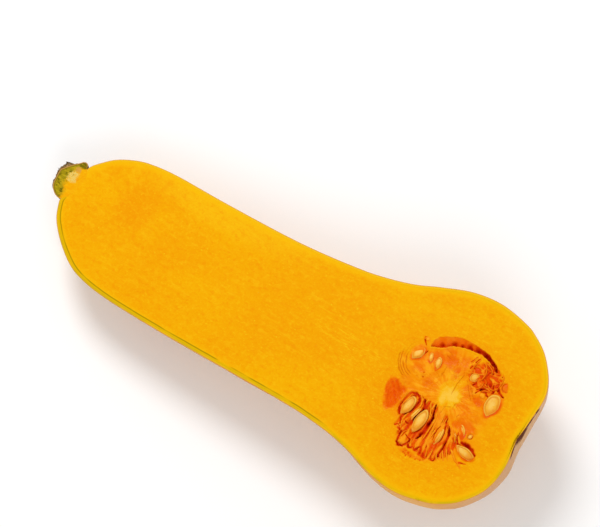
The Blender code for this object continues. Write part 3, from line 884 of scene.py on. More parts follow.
def seedMatrix(place):
    x, y, depth = place[:3]
    heading, roll, dip = place[5:8]
    turn = Matrix.Rotation(radians(heading), 4, "Z") @ Matrix.Rotation(radians(dip), 4, "Y")
    return Matrix.Translation((x, y, -depth)) @ turn @ Matrix.Rotation(radians(roll), 4, "X")


def seedsPiece(finish):
    whole = bmesh.new()
    tones = []
    shadows = []  # -1 to 1, from the lit side to the other
    for number, place in enumerate(seeds["places"]):
        length, width, stain = place[3], place[4], place[8]
        thick = seeds["thickness"] * min(1.0, width / 5.6)
        bm = bmesh.new()
        bmesh.ops.create_uvsphere(bm, u_segments=seeds["around"], v_segments=seeds["rings"], radius=1.0)
        for vertex in bm.verts:
            x, y, z = vertex.co
            level = asin(max(-1.0, min(1.0, z)))
            out = cos(level) ** 0.75  # more rings near the rim, where the bead is
            share = out / max(1e-6, hypot(x, y)) if hypot(x, y) > 1e-6 else 0.0
            x, y = x * share, y * share
            narrow = 1 - seeds["taper"] * max(0.0, x) ** 1.9
            bead = sum(tall * exp(-(((out - spot) / wide) ** 2)) for tall, spot, wide in seeds["rimRings"])
            dome = sqrt(max(0.0, 1 - out**3)) * 0.78 + bead * sqrt(max(0.0, 1 - out**12))
            wave = 1 + seeds["wave"] * sin(5 * atan2(y, x) + 1.7 * number)
            bend = 0.10 * thick * sin(2.2 * x + number)
            height = (1 if z > 0 else -1) * dome * thick / 2
            vertex.co = (x * length / 2 * wave, y * width / 2 * narrow * wave, height + bend)
            tones.append((out, stain + 0.30 * max(0.0, x) * (stain > 0.3)))
        bmesh.ops.recalc_face_normals(bm, faces=bm.faces)
        bm.transform(seedMatrix(place))
        shadows += [((v.co.x - place[0]) * 0.85 - (v.co.y - place[1]) * 0.5) * 2 / width for v in bm.verts]
        addTo(whole, bm)
    piece = meshObject("seeds", whole, finish)
    paint(piece, "seedTone", *np.array(tones).T, np.clip(shadows, -1, 1))
    return settle(piece, "seed", "seed_core")


# Pulp

pulp = {
    "core": (241.5, 2.5),
    "spokes": 540,  # of the mesh, with so many rings on top
    "rings": 150,
    "bowlRings": 12,  # and underneath
    "fan": (238.0, 45.0),  # where the torn side's strands would meet
    "torn": (
        (223.0, -5.0), (226.5, -3.6), (230.5, -4.0), (235.0, -4.0), (238.6, -4.2), (242.5, -5.5),
        (246.8, -6.0), (249.6, -9.6), (253.0, -10.4), (256.0, -12.0), (259.0, -15.5), (258.6, -18.5),
        (258.2, -22.0), (256.8, -25.5), (254.5, -28.6), (252.5, -30.8), (248.0, -31.8), (244.0, -31.6),
        (240.0, -31.0), (237.4, -31.4), (234.6, -33.0), (231.2, -32.4), (229.4, -29.0), (227.6, -25.6),
        (224.6, -23.8), (225.0, -19.6), (221.8, -16.6), (221.2, -11.6), (221.8, -8.0),
    ),
    "gaps": (  # x, y, half the width at points along each, then its depth
        (((223.4, -6.0, .25), (224.6, -5.0, .45), (226.6, -4.5, .5), (228.8, -5.1, .6), (229.9, -7.2, .55),
          (229.4, -9.8, .5), (228.3, -13.4, .5), (226.9, -16.8, .35)), 3.4),
        (((222.5, -11.6, .2), (222.5, -13.4, .5), (223.2, -16.2, .45), (224.6, -17.8, .2)), 3.0),
        (((231.9, -4.8, .25), (232.8, -6.6, .5), (234.1, -8.2, .65), (233.5, -10.8, .55),
          (232.5, -14.0, .45),
          (232.2, -17.0, .45), (232.0, -19.6, .35)), 5.0),
        (((229.4, -19.6, .3), (230.4, -20.0, .5), (231.6, -19.6, .35)), 3.0),
        (((238.3, -4.6, .2), (239.0, -7.2, .4), (240.5, -11.4, .55), (240.0, -14.6, .85),
          (240.1, -18.6, .95),
          (239.7, -22.0, .65), (238.7, -24.4, .3)), 7.5),
        (((247.3, -7.4, .2), (247.7, -9.4, .45), (248.4, -11.2, .35), (248.6, -13.0, .15)), 3.4),
        (((246.2, -12.5, .12), (245.8, -15.0, .25), (245.7, -18.0, .22), (246.4, -21.0, .15)), 2.0),
        (((249.9, -10.6, .15), (251.0, -12.2, .5), (252.2, -14.6, .6), (252.6, -18.0, .4),
          (252.9, -22.0, .4),
          (252.8, -25.2, .5), (252.7, -26.6, .9), (252.2, -28.4, .4), (252.0, -30.0, .25)), 5.0),
        (((249.4, -14.4, .15), (249.5, -17.5, .35), (249.3, -21.5, .3)), 3.0),
        (((255.7, -11.0, .15), (256.8, -13.6, .35), (258.3, -16.2, .45)), 2.6),
        (((259.6, -14.6, .5), (261.6, -14.5, .9), (264.4, -14.9, 1.0), (267.0, -15.8, .8),
          (269.0, -17.2, .3)), 4.4),
        (((264.0, -24.3, .4), (267.4, -23.1, .15)), 1.6),
        (((257.3, -21.4, .3), (257.9, -22.8, .28)), 2.0),
        (((226.1, -18.4, .28), (226.8, -20.2, .4), (227.3, -21.8, .3)), 2.8),
        (((225.5, -23.8, .3), (226.4, -23.1, .35), (227.2, -22.6, .2)), 2.4),
        (((227.9, -23.2, .25), (228.4, -24.4, .45), (229.4, -24.9, .2)), 2.8),
        (((230.4, -24.4, .3), (230.1, -26.6, .45), (230.7, -28.6, .45), (231.0, -30.6, .4),
          (232.6, -32.0, .6),
          (234.4, -31.3, .45), (235.6, -29.4, .35), (236.4, -27.6, .4), (236.2, -26.6, .3),
          (234.4, -26.0, .22),
          (232.8, -25.4, .15)), 3.6),
        (((236.7, -29.0, .3), (237.4, -30.2, .45), (238.6, -30.2, .4), (239.4, -28.8, .25)), 3.2),
        (((239.8, -28.8, .25), (240.6, -29.8, .45), (241.6, -29.9, .45), (242.0, -27.8, .35),
          (243.0, -26.7, .3),
          (244.0, -28.6, .35), (244.4, -29.8, .35)), 3.2),
        (((245.5, -29.2, .25), (246.4, -30.2, .45), (247.4, -30.9, .2)), 2.6),
        (((250.2, -28.6, .3), (250.9, -29.9, .4), (251.6, -30.2, .2)), 2.8),
        (((234.6, -23.5, .25), (235.6, -23.0, .35), (236.5, -22.3, .2)), 2.4),
        (((245.4, -24.4, .15), (245.7, -26.0, .22)), 1.8),
        (((242.8, -23.0, .12), (243.4, -25.6, .22), (243.3, -27.0, .1)), 1.8),
        (((219.9, 17.4, .18), (219.0, 15.0, .38), (217.9, 12.2, .2)), 2.8),
        (((215.1, 23.2, .35), (215.4, 22.2, .35), (216.8, 20.6, .25), (217.6, 19.6, .12)), 1.6),
        (((250.2, 15.8, .4), (249.2, 14.0, .5)), 3.4),
        (((243.8, 22.0, .35), (243.5, 20.6, .2)), 2.2),
        (((245.6, 27.8, .15), (244.9, 26.0, .3), (244.2, 24.4, .2)), 1.8),
        (((243.9, 27.6, .12), (242.9, 25.4, .2), (242.2, 23.6, .12)), 1.2),
        (((260.1, 21.4, .2), (260.4, 20.0, .4), (260.2, 18.6, .25)), 2.8),
        (((252.4, 10.8, .15), (253.0, 12.4, .45), (254.0, 14.2, .6), (255.4, 15.0, .3)), 3.4),
        (((256.2, 14.6, .25), (256.8, 13.4, .45), (257.8, 12.6, .5), (258.8, 12.2, .2)), 3.0),
        (((258.2, 18.8, .2), (259.0, 17.2, .5), (260.0, 15.8, .55), (259.4, 14.4, .25)), 3.4),
        (((260.6, 19.2, .2), (261.8, 18.2, .55), (262.8, 16.8, .55), (264.2, 16.3, .4),
          (265.6, 15.8, .3)), 3.4),
        (((252.0, 20.0, .15), (252.8, 21.6, .4), (253.2, 23.4, .4), (254.6, 24.4, .2)), 2.6),
        (((249.6, 24.8, .15), (251.0, 25.2, .3), (252.0, 26.4, .2)), 2.0),
        (((255.8, 17.6, .12), (254.4, 17.6, .3), (253.2, 17.0, .2)), 2.2),
    ),
    "pits": (  # x, y, radius, depth
        (255.0, 23.8, .42, 2.0), (260.0, 24.6, .42, 2.0), (261.4, 17.6, .8, 3.4), (253.8, 14.0, 1.0, 4.0),
        (224.0, 6.8, .45, 1.0), (224.8, 4.6, .4, 0.9), (236.9, -34.0, .5, .9),
        (238.8, -34.7, .6, 1.0), (241.2, -34.1, .5, .9), (244.0, -33.9, .5, .8), (246.6, -33.2, .5, .7),
    ),
    "mounds": (  # x, y, radius, height
        (256.2, 11.3, 1.5, .7), (255.8, 15.8, 1.5, .55), (257.2, 21.2, 2.7, .45), (216.6, 22.8, 1.1, .4),
        (248.5, 21.8, 3.0, .45),
        (265.0, -26.0, 1.5, .25), (231.6, 6.4, 1.3, .15), (233.2, -28.4, 2.2, .5),
    ),
    "blister": (264.8, 20.8, 2.2),
    "patches": (  # smooth red-orange: x, y, radii, how deep, how red
        (256.0, 7.6, 4.2, 2.6, .6, .95),
        (254.6, 19.4, 2.2, 2.6, .7, .9),
        (257.6, -6.4, 5.8, 4.2, .7, .75),
        (252.8, -8.0, 3.4, 2.6, .5, .7),
        (226.4, 17.8, 6.2, 3.6, .5, .80),
        (233.2, 19.0, 5.0, 4.6, .4, .72),
        (230.0, 23.6, 5.0, 2.0, .2, .55),
        (255.4, 22.8, 5.0, 3.4, .3, .85),
        (238.6, 16.4, 2.2, 2.6, .5, .85),
        (239.4, 21.5, 3.0, 4.0, .3, .5),
        (220.6, 8.4, 4.4, 3.2, .3, .3),
        (257.0, -17.4, 2.4, 2.2, .9, 1.0),
        (247.6, -23.4, 2.6, 1.5, .9, .9),
        (230.6, -22.0, 3.8, 1.6, .8, .8),
    ),
    "leftPatch": (
        (210.6, -4.0), (214.8, -2.4), (217.2, -4.0), (221.0, -5.0), (221.6, -8.4), (221.0, -12.6),
        (220.8, -15.4), (219.8, -17.8), (217.4, -20.0), (214.6, -17.6), (212.4, -13.6), (209.9, -8.8),
    ),
    "leftPatchDepth": 1.5,
    "arcOuter": (
        (219.6, 21.4), (219.8, 24.0), (221.2, 26.4), (224.0, 28.4), (227.6, 30.4), (231.2, 32.2),
        (234.4, 32.4), (237.6, 32.4), (241.0, 32.2), (245.0, 32.0), (248.2, 31.6), (252.2, 29.6),
        (255.0, 28.0), (256.4, 25.8),
    ),
    "arcInner": (
        (220.2, 20.2), (222.0, 21.4), (224.8, 22.2), (227.2, 24.0), (229.6, 26.0), (232.8, 27.4),
        (235.6, 28.3), (238.0, 28.6), (240.8, 29.0), (245.0, 29.5), (249.0, 28.6), (253.0, 27.3),
        (255.0, 25.6), (256.2, 25.2),
    ),
    "dimples": (
        (224.6, 24.0, 1.25), (229.8, 27.4, 1.35), (233.6, 28.6, .9), (237.2, 30.1, 1.3), (238.4, 29.8, .7),
        (242.0, 30.7, 1.05), (246.6, 30.9, 1.25), (249.2, 30.1, 1.3), (252.3, 28.6, 1.2), (255.2, 26.9, .9),
    ),
    "ringCentre": (221.0, 12.0),
    "ringRadii": (9.4, 10.9, 12.3, 13.4),
    "slits": (
        ((242.0, 17.2, .10), (242.8, 15.4, .20), (242.3, 12.6, .13), (241.9, 10.2, .16), (242.1, 6.8, .18),
         (242.3, 4.2, .08)),
        ((246.6, 1.0, .16), (246.8, -2.6, .12)),
        ((242.2, -3.3, .08), (245.4, -1.8, .14)),
        ((242.8, -3.2, .10), (242.6, -8.0, .08)),
        ((251.1, -3.2, .16), (250.6, -4.8, .12)),
        ((245.6, 14.2, .10), (249.4, 9.4, .16), (252.6, 6.2, .08)),
        ((247.2, 13.8, .10), (250.8, 10.0, .16), (253.6, 7.4, .08)),
        ((248.6, 12.8, .10), (251.8, 9.6, .14)),
        ((232.6, 15.4, .08), (232.8, 12.4, .14), (232.6, 9.8, .08)),
        ((228.0, 23.2, .08), (230.6, 22.6, .14), (232.6, 21.4, .10)),
        ((229.6, 20.6, .08), (232.4, 19.6, .12)),
        ((210.7, 20.8, .08), (210.5, 18.6, .16)),
        ((208.6, 16.0, .16), (208.2, 13.8, .10)),
        ((243.8, -12.0, .08), (244.4, -16.0, .12), (243.8, -19.5, .08)),
    ),
    "foot": (241.5, -6.5, 27.0),  # the ruffled band under the torn side: middle and radius
    "footX": 242.0,
    "membranes": (252.6, 20.2, 10.2, 8.6),  # where the curled ones lie: middle and half sizes
    "noPockets": (257.5, 15.5, 8.0, 5.5),
    "coreSpots": (  # middle, half sizes, where the edge starts and ends, share
        (242.6, 2.8, 6.4, 6.8, 0.15, 1.20, 1.0),
        (239.4, 0.6, 3.4, 5.0, 0.3, 1.2, 0.9),
        (241.2, 7.6, 9.6, 10.4, 0.25, 1.15, 0.42),
    ),
}


class PulpTop:  # the pulp's top: its height at each place, and the shares that its finish reads
    def __init__(self, x, y):
        self.flat = flatPlaces(x, y)
        centreX, centreY = cavity["centre"]
        turns = np.linspace(-pi, pi, 361)
        rimTable = [np.linalg.norm(cavityRim(a) - cavity["centre"]) for a in turns]
        rimReach = np.interp(np.arctan2(y - centreY, x - centreX), turns, rimTable)
        self.share = np.hypot(x - centreX, y - centreY) / rimReach  # 0 in the cavity's middle, 1 at its rim
        self.waver = self.rough(0.55, 16)
        self.waverFine = self.rough(1.1, 24)
        self.waverSlow = self.rough(0.38, 26)
        self.x = x + 0.30 * self.waver + 0.12 * self.rough(1.6, 21)
        self.y = y + 0.30 * self.rough(0.55, 17) + 0.12 * self.rough(1.6, 22)
        self.fade = 1 - between(0.66, 0.99, self.share + 0.08 * self.rough(0.14, 9))
        self.shade = np.zeros(len(x))
        self.pale = np.zeros(len(x))

    def rough(self, scale, seed):
        return wobble(self.flat, scale, seed)

    def reach(self, *spot):
        return reachIn(self.x, self.y, spot)

    def atLeast(self, **shares):  # raises shares where they are lower than this
        for name, value in shares.items():
            setattr(self, name, np.maximum(getattr(self, name), value))

    def sink(self, body, deep):  # down to this depth where body is 1, but nowhere up
        self.height = np.minimum(self.height, self.height * (1 - body) - deep * body)


def coreStrands(top):  # strands that run out from the core
    coreX, coreY = pulp["core"]
    fromCore = np.hypot(top.x - coreX, top.y - coreY)
    heading = np.arctan2(top.y - coreY, top.x - coreX)
    fan = np.column_stack([np.cos(heading) * 9, np.sin(heading) * 9, fromCore * 0.12])
    strand = wobble(fan, 1.0, 1) + 0.5 * wobble(fan, 2.4, 2) + 0.4 * top.rough(0.5, 29)
    inside = 1 - between(0.72, 0.98, top.share + 0.10 * top.rough(0.12, 9))
    top.height = (0.09 * strand + 0.05 * top.rough(0.8, 3)) * inside * between(3, 9, fromCore)
    top.pulpy = top.fade * (0.62 + 0.38 * between(-0.4, 0.5, top.rough(0.11, 6)))
    top.tint = top.fade * 0.55 * between(0.0, 0.55, top.rough(0.20, 27) + 0.35 * top.rough(0.6, 28))
    # raised strands are painted paler, partly as painted highlight
    top.streaky = 0.5 + 0.4 * strand


def tornSide(top):  # leaves of pulp side by side, with a ruffled foot
    fanX, fanY = pulp["fan"]
    leaves = flatPlaces((top.x - fanX) / (fanY - top.y) * 58 * 0.62, top.y * 0.09)
    leaf = wobble(leaves, 1.0, 4) + 0.55 * wobble(leaves * (2.3, 1.6, 1), 1.0, 5)
    within = insideBy(top.x, top.y, pulp["torn"])
    top.torn = between(-0.5, 1.3, within)
    low = 1 - between(-0.30, 0.25, leaf)
    nearer = 1 - between(14.0, 27.0, np.abs(top.y))
    top.height -= top.torn * (0.10 + low * (0.45 + 0.4 * nearer) - 0.35 * between(0.25, 0.7, leaf))
    # low leaves are painted darker and redder as shade, high leaves paler as painted highlight
    top.atLeast(shade=top.torn * (low * 0.24 + between(0.25, 0.6, -leaf) * 0.30))
    top.atLeast(pulpy=top.torn * 0.95, tint=top.torn * (0.25 + 0.5 * low))
    top.streaky = top.streaky * (1 - top.torn) + top.torn * (0.6 + 0.9 * leaf)
    foot = (1 - between(1.0, 6.0, np.abs(within))) * top.torn * (1 - between(-24.0, -21.0, top.y))
    ruffle = top.rough(0.75, 7) + 0.5 * top.rough(1.6, 8)
    footX, footY, footReach = pulp["foot"]
    below = 1 - between(0.4, 3.0, np.abs(np.hypot(top.x - footX, top.y - footY) - footReach))
    below *= (1 - between(-30.5, -28.5, top.y)) * (1 - between(5.0, 9.0, np.abs(top.x - pulp["footX"])))
    top.height -= foot * between(-0.1, 0.5, ruffle) * 0.7
    top.height -= below * between(0.1, 0.6, ruffle) * 0.4
    top.atLeast(shade=foot * between(0.0, 0.6, ruffle) * 0.34)
    top.atLeast(shade=below * between(0.15, 0.6, ruffle) * 0.30)
    top.atLeast(pulpy=below * 0.85, tint=below * (0.3 + between(-0.2, 0.4, ruffle) * 0.7))


def smoothHollows(top):  # the last is the veined one at the cavity's left
    for *spot, deep, red in pulp["patches"]:
        e = top.reach(*spot) + 0.22 * top.waver + 0.12 * top.waverFine
        body = 1 - between(0.25, 1.35, e)
        top.height -= deep * 0.8 * body
        top.atLeast(tint=red * 0.9 * body, pulpy=1 - between(0.6, 1.4, e))
    patch = insideBy(top.x, top.y, pulp["leftPatch"]) + 0.8 * top.waverSlow + 0.5 * top.waverFine
    body = between(-0.6, 5.0, patch)
    slanted = flatPlaces((top.x + top.y) * 0.55, (top.x - top.y) * 0.16)
    veins = wobble(slanted, 1.0, 41) + 0.6 * top.waverFine
    veined = 0.10 + 0.24 * between(0.0, 0.7, veins) + 0.14 * between(0.0, 0.5, -top.waverSlow)
    top.height -= (pulp["leftPatchDepth"] + 0.30 * np.abs(veins)) * body
    top.atLeast(tint=between(-1.4, 2.2, patch) * (1.0 + 0.25 * veins))
    top.atLeast(pulpy=between(-1.2, 0.6, patch), shade=body * veined)
    top.streaky = top.streaky * (1 - body) + body * (0.4 - 0.6 * veins)


def curledMembranes(top):  # on the far side
    messy = 1 - between(0.72, 1.05, top.reach(*pulp["membranes"]) + 0.10 * top.rough(0.3, 11))
    twist = top.flat + flatPlaces(top.rough(0.35, 12), top.rough(0.35, 13)) * 1.8
    curl = 1 - np.abs(wobble(twist, 0.42, 14)) * 4.0
    pocket = between(0.10, 0.60, top.rough(0.42, 38) + 0.5 * top.waverFine)
    red = messy * pocket * (1 - between(0.5, 1.1, top.reach(*pulp["noPockets"])))
    top.height += messy * (-0.75 + 0.65 * np.clip(curl, -0.5, 1.0))
    top.height -= red * 0.5
    # curl tops are painted paler as highlight; the folds between them and the sunken pockets are painted
    # shade
    top.streaky = np.where(messy > 0.2, 0.35 + 0.5 * curl, top.streaky)
    top.atLeast(pulpy=messy * 0.95, tint=messy * (0.55 + 0.45 * between(0.2, 0.9, 1 - curl)))
    top.atLeast(shade=messy * between(0.5, 1.3, 1 - curl) * 0.34)
    top.atLeast(shade=red * 0.62)
    top.messy = messy


def fineFibres(top):  # crooked ones all over
    threads = flatPlaces(top.x + 1.6 * top.waverSlow, top.y + 1.6 * top.rough(0.38, 30))
    thread = np.maximum(0, 1 - np.abs(wobble(threads, 0.42, 36)) * 9)
    thread *= between(-0.2, 0.4, top.rough(0.15, 37)) * top.fade
    top.height -= thread * 0.10
    top.groove = thread * 0.34 * (1 - top.torn) * (1 - top.messy)


def seedRings(top):  # rings of fibre round the far seed
    ringX, ringY = pulp["ringCentre"]
    ring = np.hypot(top.x - ringX, top.y - ringY) + 0.25 * top.rough(0.3, 15)
    turn = np.degrees(np.arctan2(top.y - ringY, top.x - ringX)) % 360
    arc = between(128, 165, turn) * (1 - between(246, 262, turn))
    strong = between(178, 196, turn)
    for radius in pulp["ringRadii"]:
        line = 1 - between(0.08, 0.42, np.abs(ring - radius))
        line *= arc * (0.30 + 0.70 * strong) * between(-0.45, 0.1, top.rough(0.22, 18 + radius))
        top.height -= line * 0.26
        top.atLeast(groove=line * 0.95)
    band = arc * strong * (1 - between(1.6, 2.8, np.abs(ring - 10.8)))
    top.height += band * 0.10 * np.cos(2 * pi * (ring - 10.9) / 1.45)
    top.atLeast(pulpy=band * 0.6)


def wallArc(top):  # where the pulp has shrunk from the wall, dimpled where seeds lay
    outer, inner = pulp["arcOuter"], pulp["arcInner"]
    gapHere = insideBy(top.x, top.y, outer + inner[::-1])
    toInner, toOuter = [pathDistance(top.x, top.y, line)[0] for line in (inner, outer)]
    across = toOuter / np.maximum(toOuter + toInner, 1e-6)  # 0 at the wall's top, 1 at the pulp
    farther = between(236.0, 247.0, top.x)
    body = between(-0.10, 0.25, gapHere)
    ribs = wobble(flatPlaces(top.x * 0.55, across * 0.8), 1.0, 25)
    wall = 0.3 + 2.2 * across**1.2 * (1 - farther) + farther * 3.6 * between(0.0, 0.35, across)
    wall = wall + 0.35 * ribs * across
    floorShade = between(0.0, 0.20, across) * (1 - 0.6 * between(0.62, 0.95, across))
    arcShade = 0.04 + 0.20 * across + 0.16 * ribs + farther * (0.10 + 0.36 * floorShade)
    for dimpleX, dimpleY, radius in pulp["dimples"]:
        dimple = 1 - between(0.20, 1.50, top.reach(dimpleX, dimpleY, radius, radius))
        wall = wall + 1.6 * dimple
        arcShade = np.maximum(arcShade, dimple * (0.62 + 0.1 * farther))
    # a raised lip along the pulp's edge, also painted paler as a highlight
    lip = (1 - between(0.25, 0.9, np.abs(toInner - 0.35))) * (1 - body)
    top.height = top.height * (1 - body) - wall * body + lip * 0.22
    top.shade = np.where(body > 0, np.maximum(top.shade * (1 - body), arcShade * body), top.shade)
    top.atLeast(pulpy=between(-0.6, 0.1, gapHere), tint=body * (0.45 + 0.5 * across), streaky=lip)


def gapsAndPits(top):  # and mounds
    uneven = np.clip(0.80 + 0.9 * top.waverSlow, 0.30, 1.15)
    for path, deep in pulp["gaps"]:
        away, half = pathDistance(top.x, top.y, path)
        half = half * (0.92 + 0.45 * top.waverFine * np.minimum(1, 0.6 / half))
        body = 1 - between(0.35, 1.60, away / half)
        beside = 1 - between(0.9, 3.4, away / half)
        top.sink(body, deep * (0.44 * uneven))
        top.atLeast(shade=body * min(0.98, 0.46 + deep * 0.09) * (0.50 + 0.5 * uneven))
        top.atLeast(pulpy=beside, tint=beside * 0.6)
    for middleX, middleY, radius, high in pulp["mounds"]:
        reach = top.reach(middleX, middleY, radius, radius)
        body = np.sqrt(np.maximum(0, 1 - reach**2))
        top.height += high * body
        top.tint = top.tint * (1 - 0.6 * body)
        # mound tops are painted paler, partly as painted highlight
        top.atLeast(streaky=body, pulpy=1 - between(0.8, 1.3, reach))
    for middleX, middleY, radius, deep in pulp["pits"]:
        reach = top.reach(middleX, middleY, radius / 1.25, radius)
        body = 1 - between(0.35, 1.25, reach + 0.5 * top.waverFine + 0.4 * top.waver)
        top.sink(body, deep * 0.7)
        top.atLeast(shade=body * min(0.66, 0.26 + deep * 0.10), pulpy=body)


def blister(top):
    middleX, middleY, radius = pulp["blister"]
    reach = top.reach(middleX, middleY, radius, radius)
    top.height = np.where(reach < 1, 0.45 * np.sqrt(np.maximum(0, 1 - reach**2)) - 0.15, top.height)
    rimLine = np.exp(-(((reach - 1.08) / 0.14) ** 2))
    rimLine *= between(-1.0, 0.6, (middleX - top.x + middleY - top.y) / radius + top.waverSlow)
    top.height -= 0.5 * rimLine
    top.shade = np.maximum(top.shade * (reach > 1), 0.26 * rimLine)
    top.tint = np.where(reach < 1.1, 0.62 + 0.3 * top.waverSlow, top.tint)
    top.atLeast(pulpy=1 - between(1.05, 1.5, reach))


def seedSockets(top):
    for seedX, seedY, sunk, length, width, turned, roll, dip, stain in seeds["places"]:
        c, s = cos(radians(turned)), sin(radians(turned))
        x, y = top.x - seedX, top.y - seedY
        along, aside = x * c + y * s, -x * s + y * c
        seen = width * abs(cos(radians(roll))) + seeds["thickness"] * abs(sin(radians(roll))) * 0.6
        narrow = 1 - seeds["taper"] * 0.8 * np.clip(along / (length / 2), 0, 1) ** 1.9
        e = np.hypot(along / (length / 2), aside / (seen / 2 * narrow)) + 0.05 * top.waverFine
        dish = (1 - between(0.95, 1.42, e)) * sunk * 0.8 * (stain < 0.3)
        body = (1 - between(0.72, 0.90, e)) * (stain < 0.3)
        top.height = (top.height - dish) * (1 - body) + np.minimum(top.height, -sunk - 1.6) * body
        unlit = between(-0.6, 0.8, (x * 0.9 - y * 0.4) / (width / 2))
        top.atLeast(shade=0.26 * (1 - between(0.9, 1.35, e)) * unlit, pulpy=1 - between(1.0, 1.6, e))
        top.atLeast(tint=(0.25 + 0.6 * unlit) * (1 - between(0.95, 1.7, e)))


def paleCore(top):  # level with the cut, with fine slits
    uneven = 0.45 * top.rough(0.22, 19) + 0.25 * top.rough(0.6, 20)
    for *spot, start, end, most in pulp["coreSpots"]:
        top.atLeast(pale=most * (1 - between(start, end, top.reach(*spot) + uneven)))
    top.pale = top.pale * (1 - between(0.1, 0.35, top.shade))
    for path in pulp["slits"]:
        away, half = pathDistance(top.x, top.y, path)
        body = 1 - between(0.6, 2.0, away / half)
        top.height -= body * 0.22
        top.atLeast(groove=body * (0.60 + 0.5 * top.waverFine))


def pulpPiece(finish):
    centre = np.array(cavity["centre"])
    angles = np.linspace(0, 2 * pi, pulp["spokes"] + 1)
    reach = np.array([cavityRim(a) - centre for a in angles])
    long = np.linalg.norm(reach, axis=1)
    reach *= ((long + cavity["pulpMargin"]) / long)[:, None]
    out = np.linspace(0, 1, pulp["rings"]) ** 0.80
    top = np.zeros((pulp["rings"], len(angles), 3))
    top[:, :, :2] = centre + reach[None] * out[:, None, None]
    top[-1, :, 2] = -0.3  # tucked in under the flesh
    back = np.linspace(1, 0, pulp["bowlRings"])
    under = np.zeros((pulp["bowlRings"], len(angles), 3))
    drop = (cavity["depth"] - 0.6) * np.sqrt(1 - back**2)
    under[:, :, :2] = centre + reach[None] * (back * 0.985)[:, None, None]
    under[:, :, 2] = -0.6 - drop[:, None]
    piece = meshObject("seedPulp", gridSheet(np.concatenate([top, under], axis=0)), finish)
    points = meshPoints(piece)
    surface = PulpTop(points[:, 0], points[:, 1])
    shapes = (coreStrands, tornSide, smoothHollows, curledMembranes, fineFibres, seedRings, wallArc)
    for shape in (*shapes, gapsAndPits, blister, seedSockets, paleCore):
        shape(surface)
    level = 1 - between(1.0, 1.03, surface.share)
    onTop = points[:, 2] > -0.1
    points[onTop, 2] = (surface.height * level + 0.03)[onTop]
    setPoints(piece, points)
    paint(piece, "pulpTone", surface.shade, surface.pulpy * level, surface.pale)
    paint(piece, "pulpMark", surface.tint, surface.groove * level, surface.streaky)
    return settle(piece, "pulp", "seed_pulp", sharp=80)


# Strands: x, y, z along each, and half its thickness in the middle

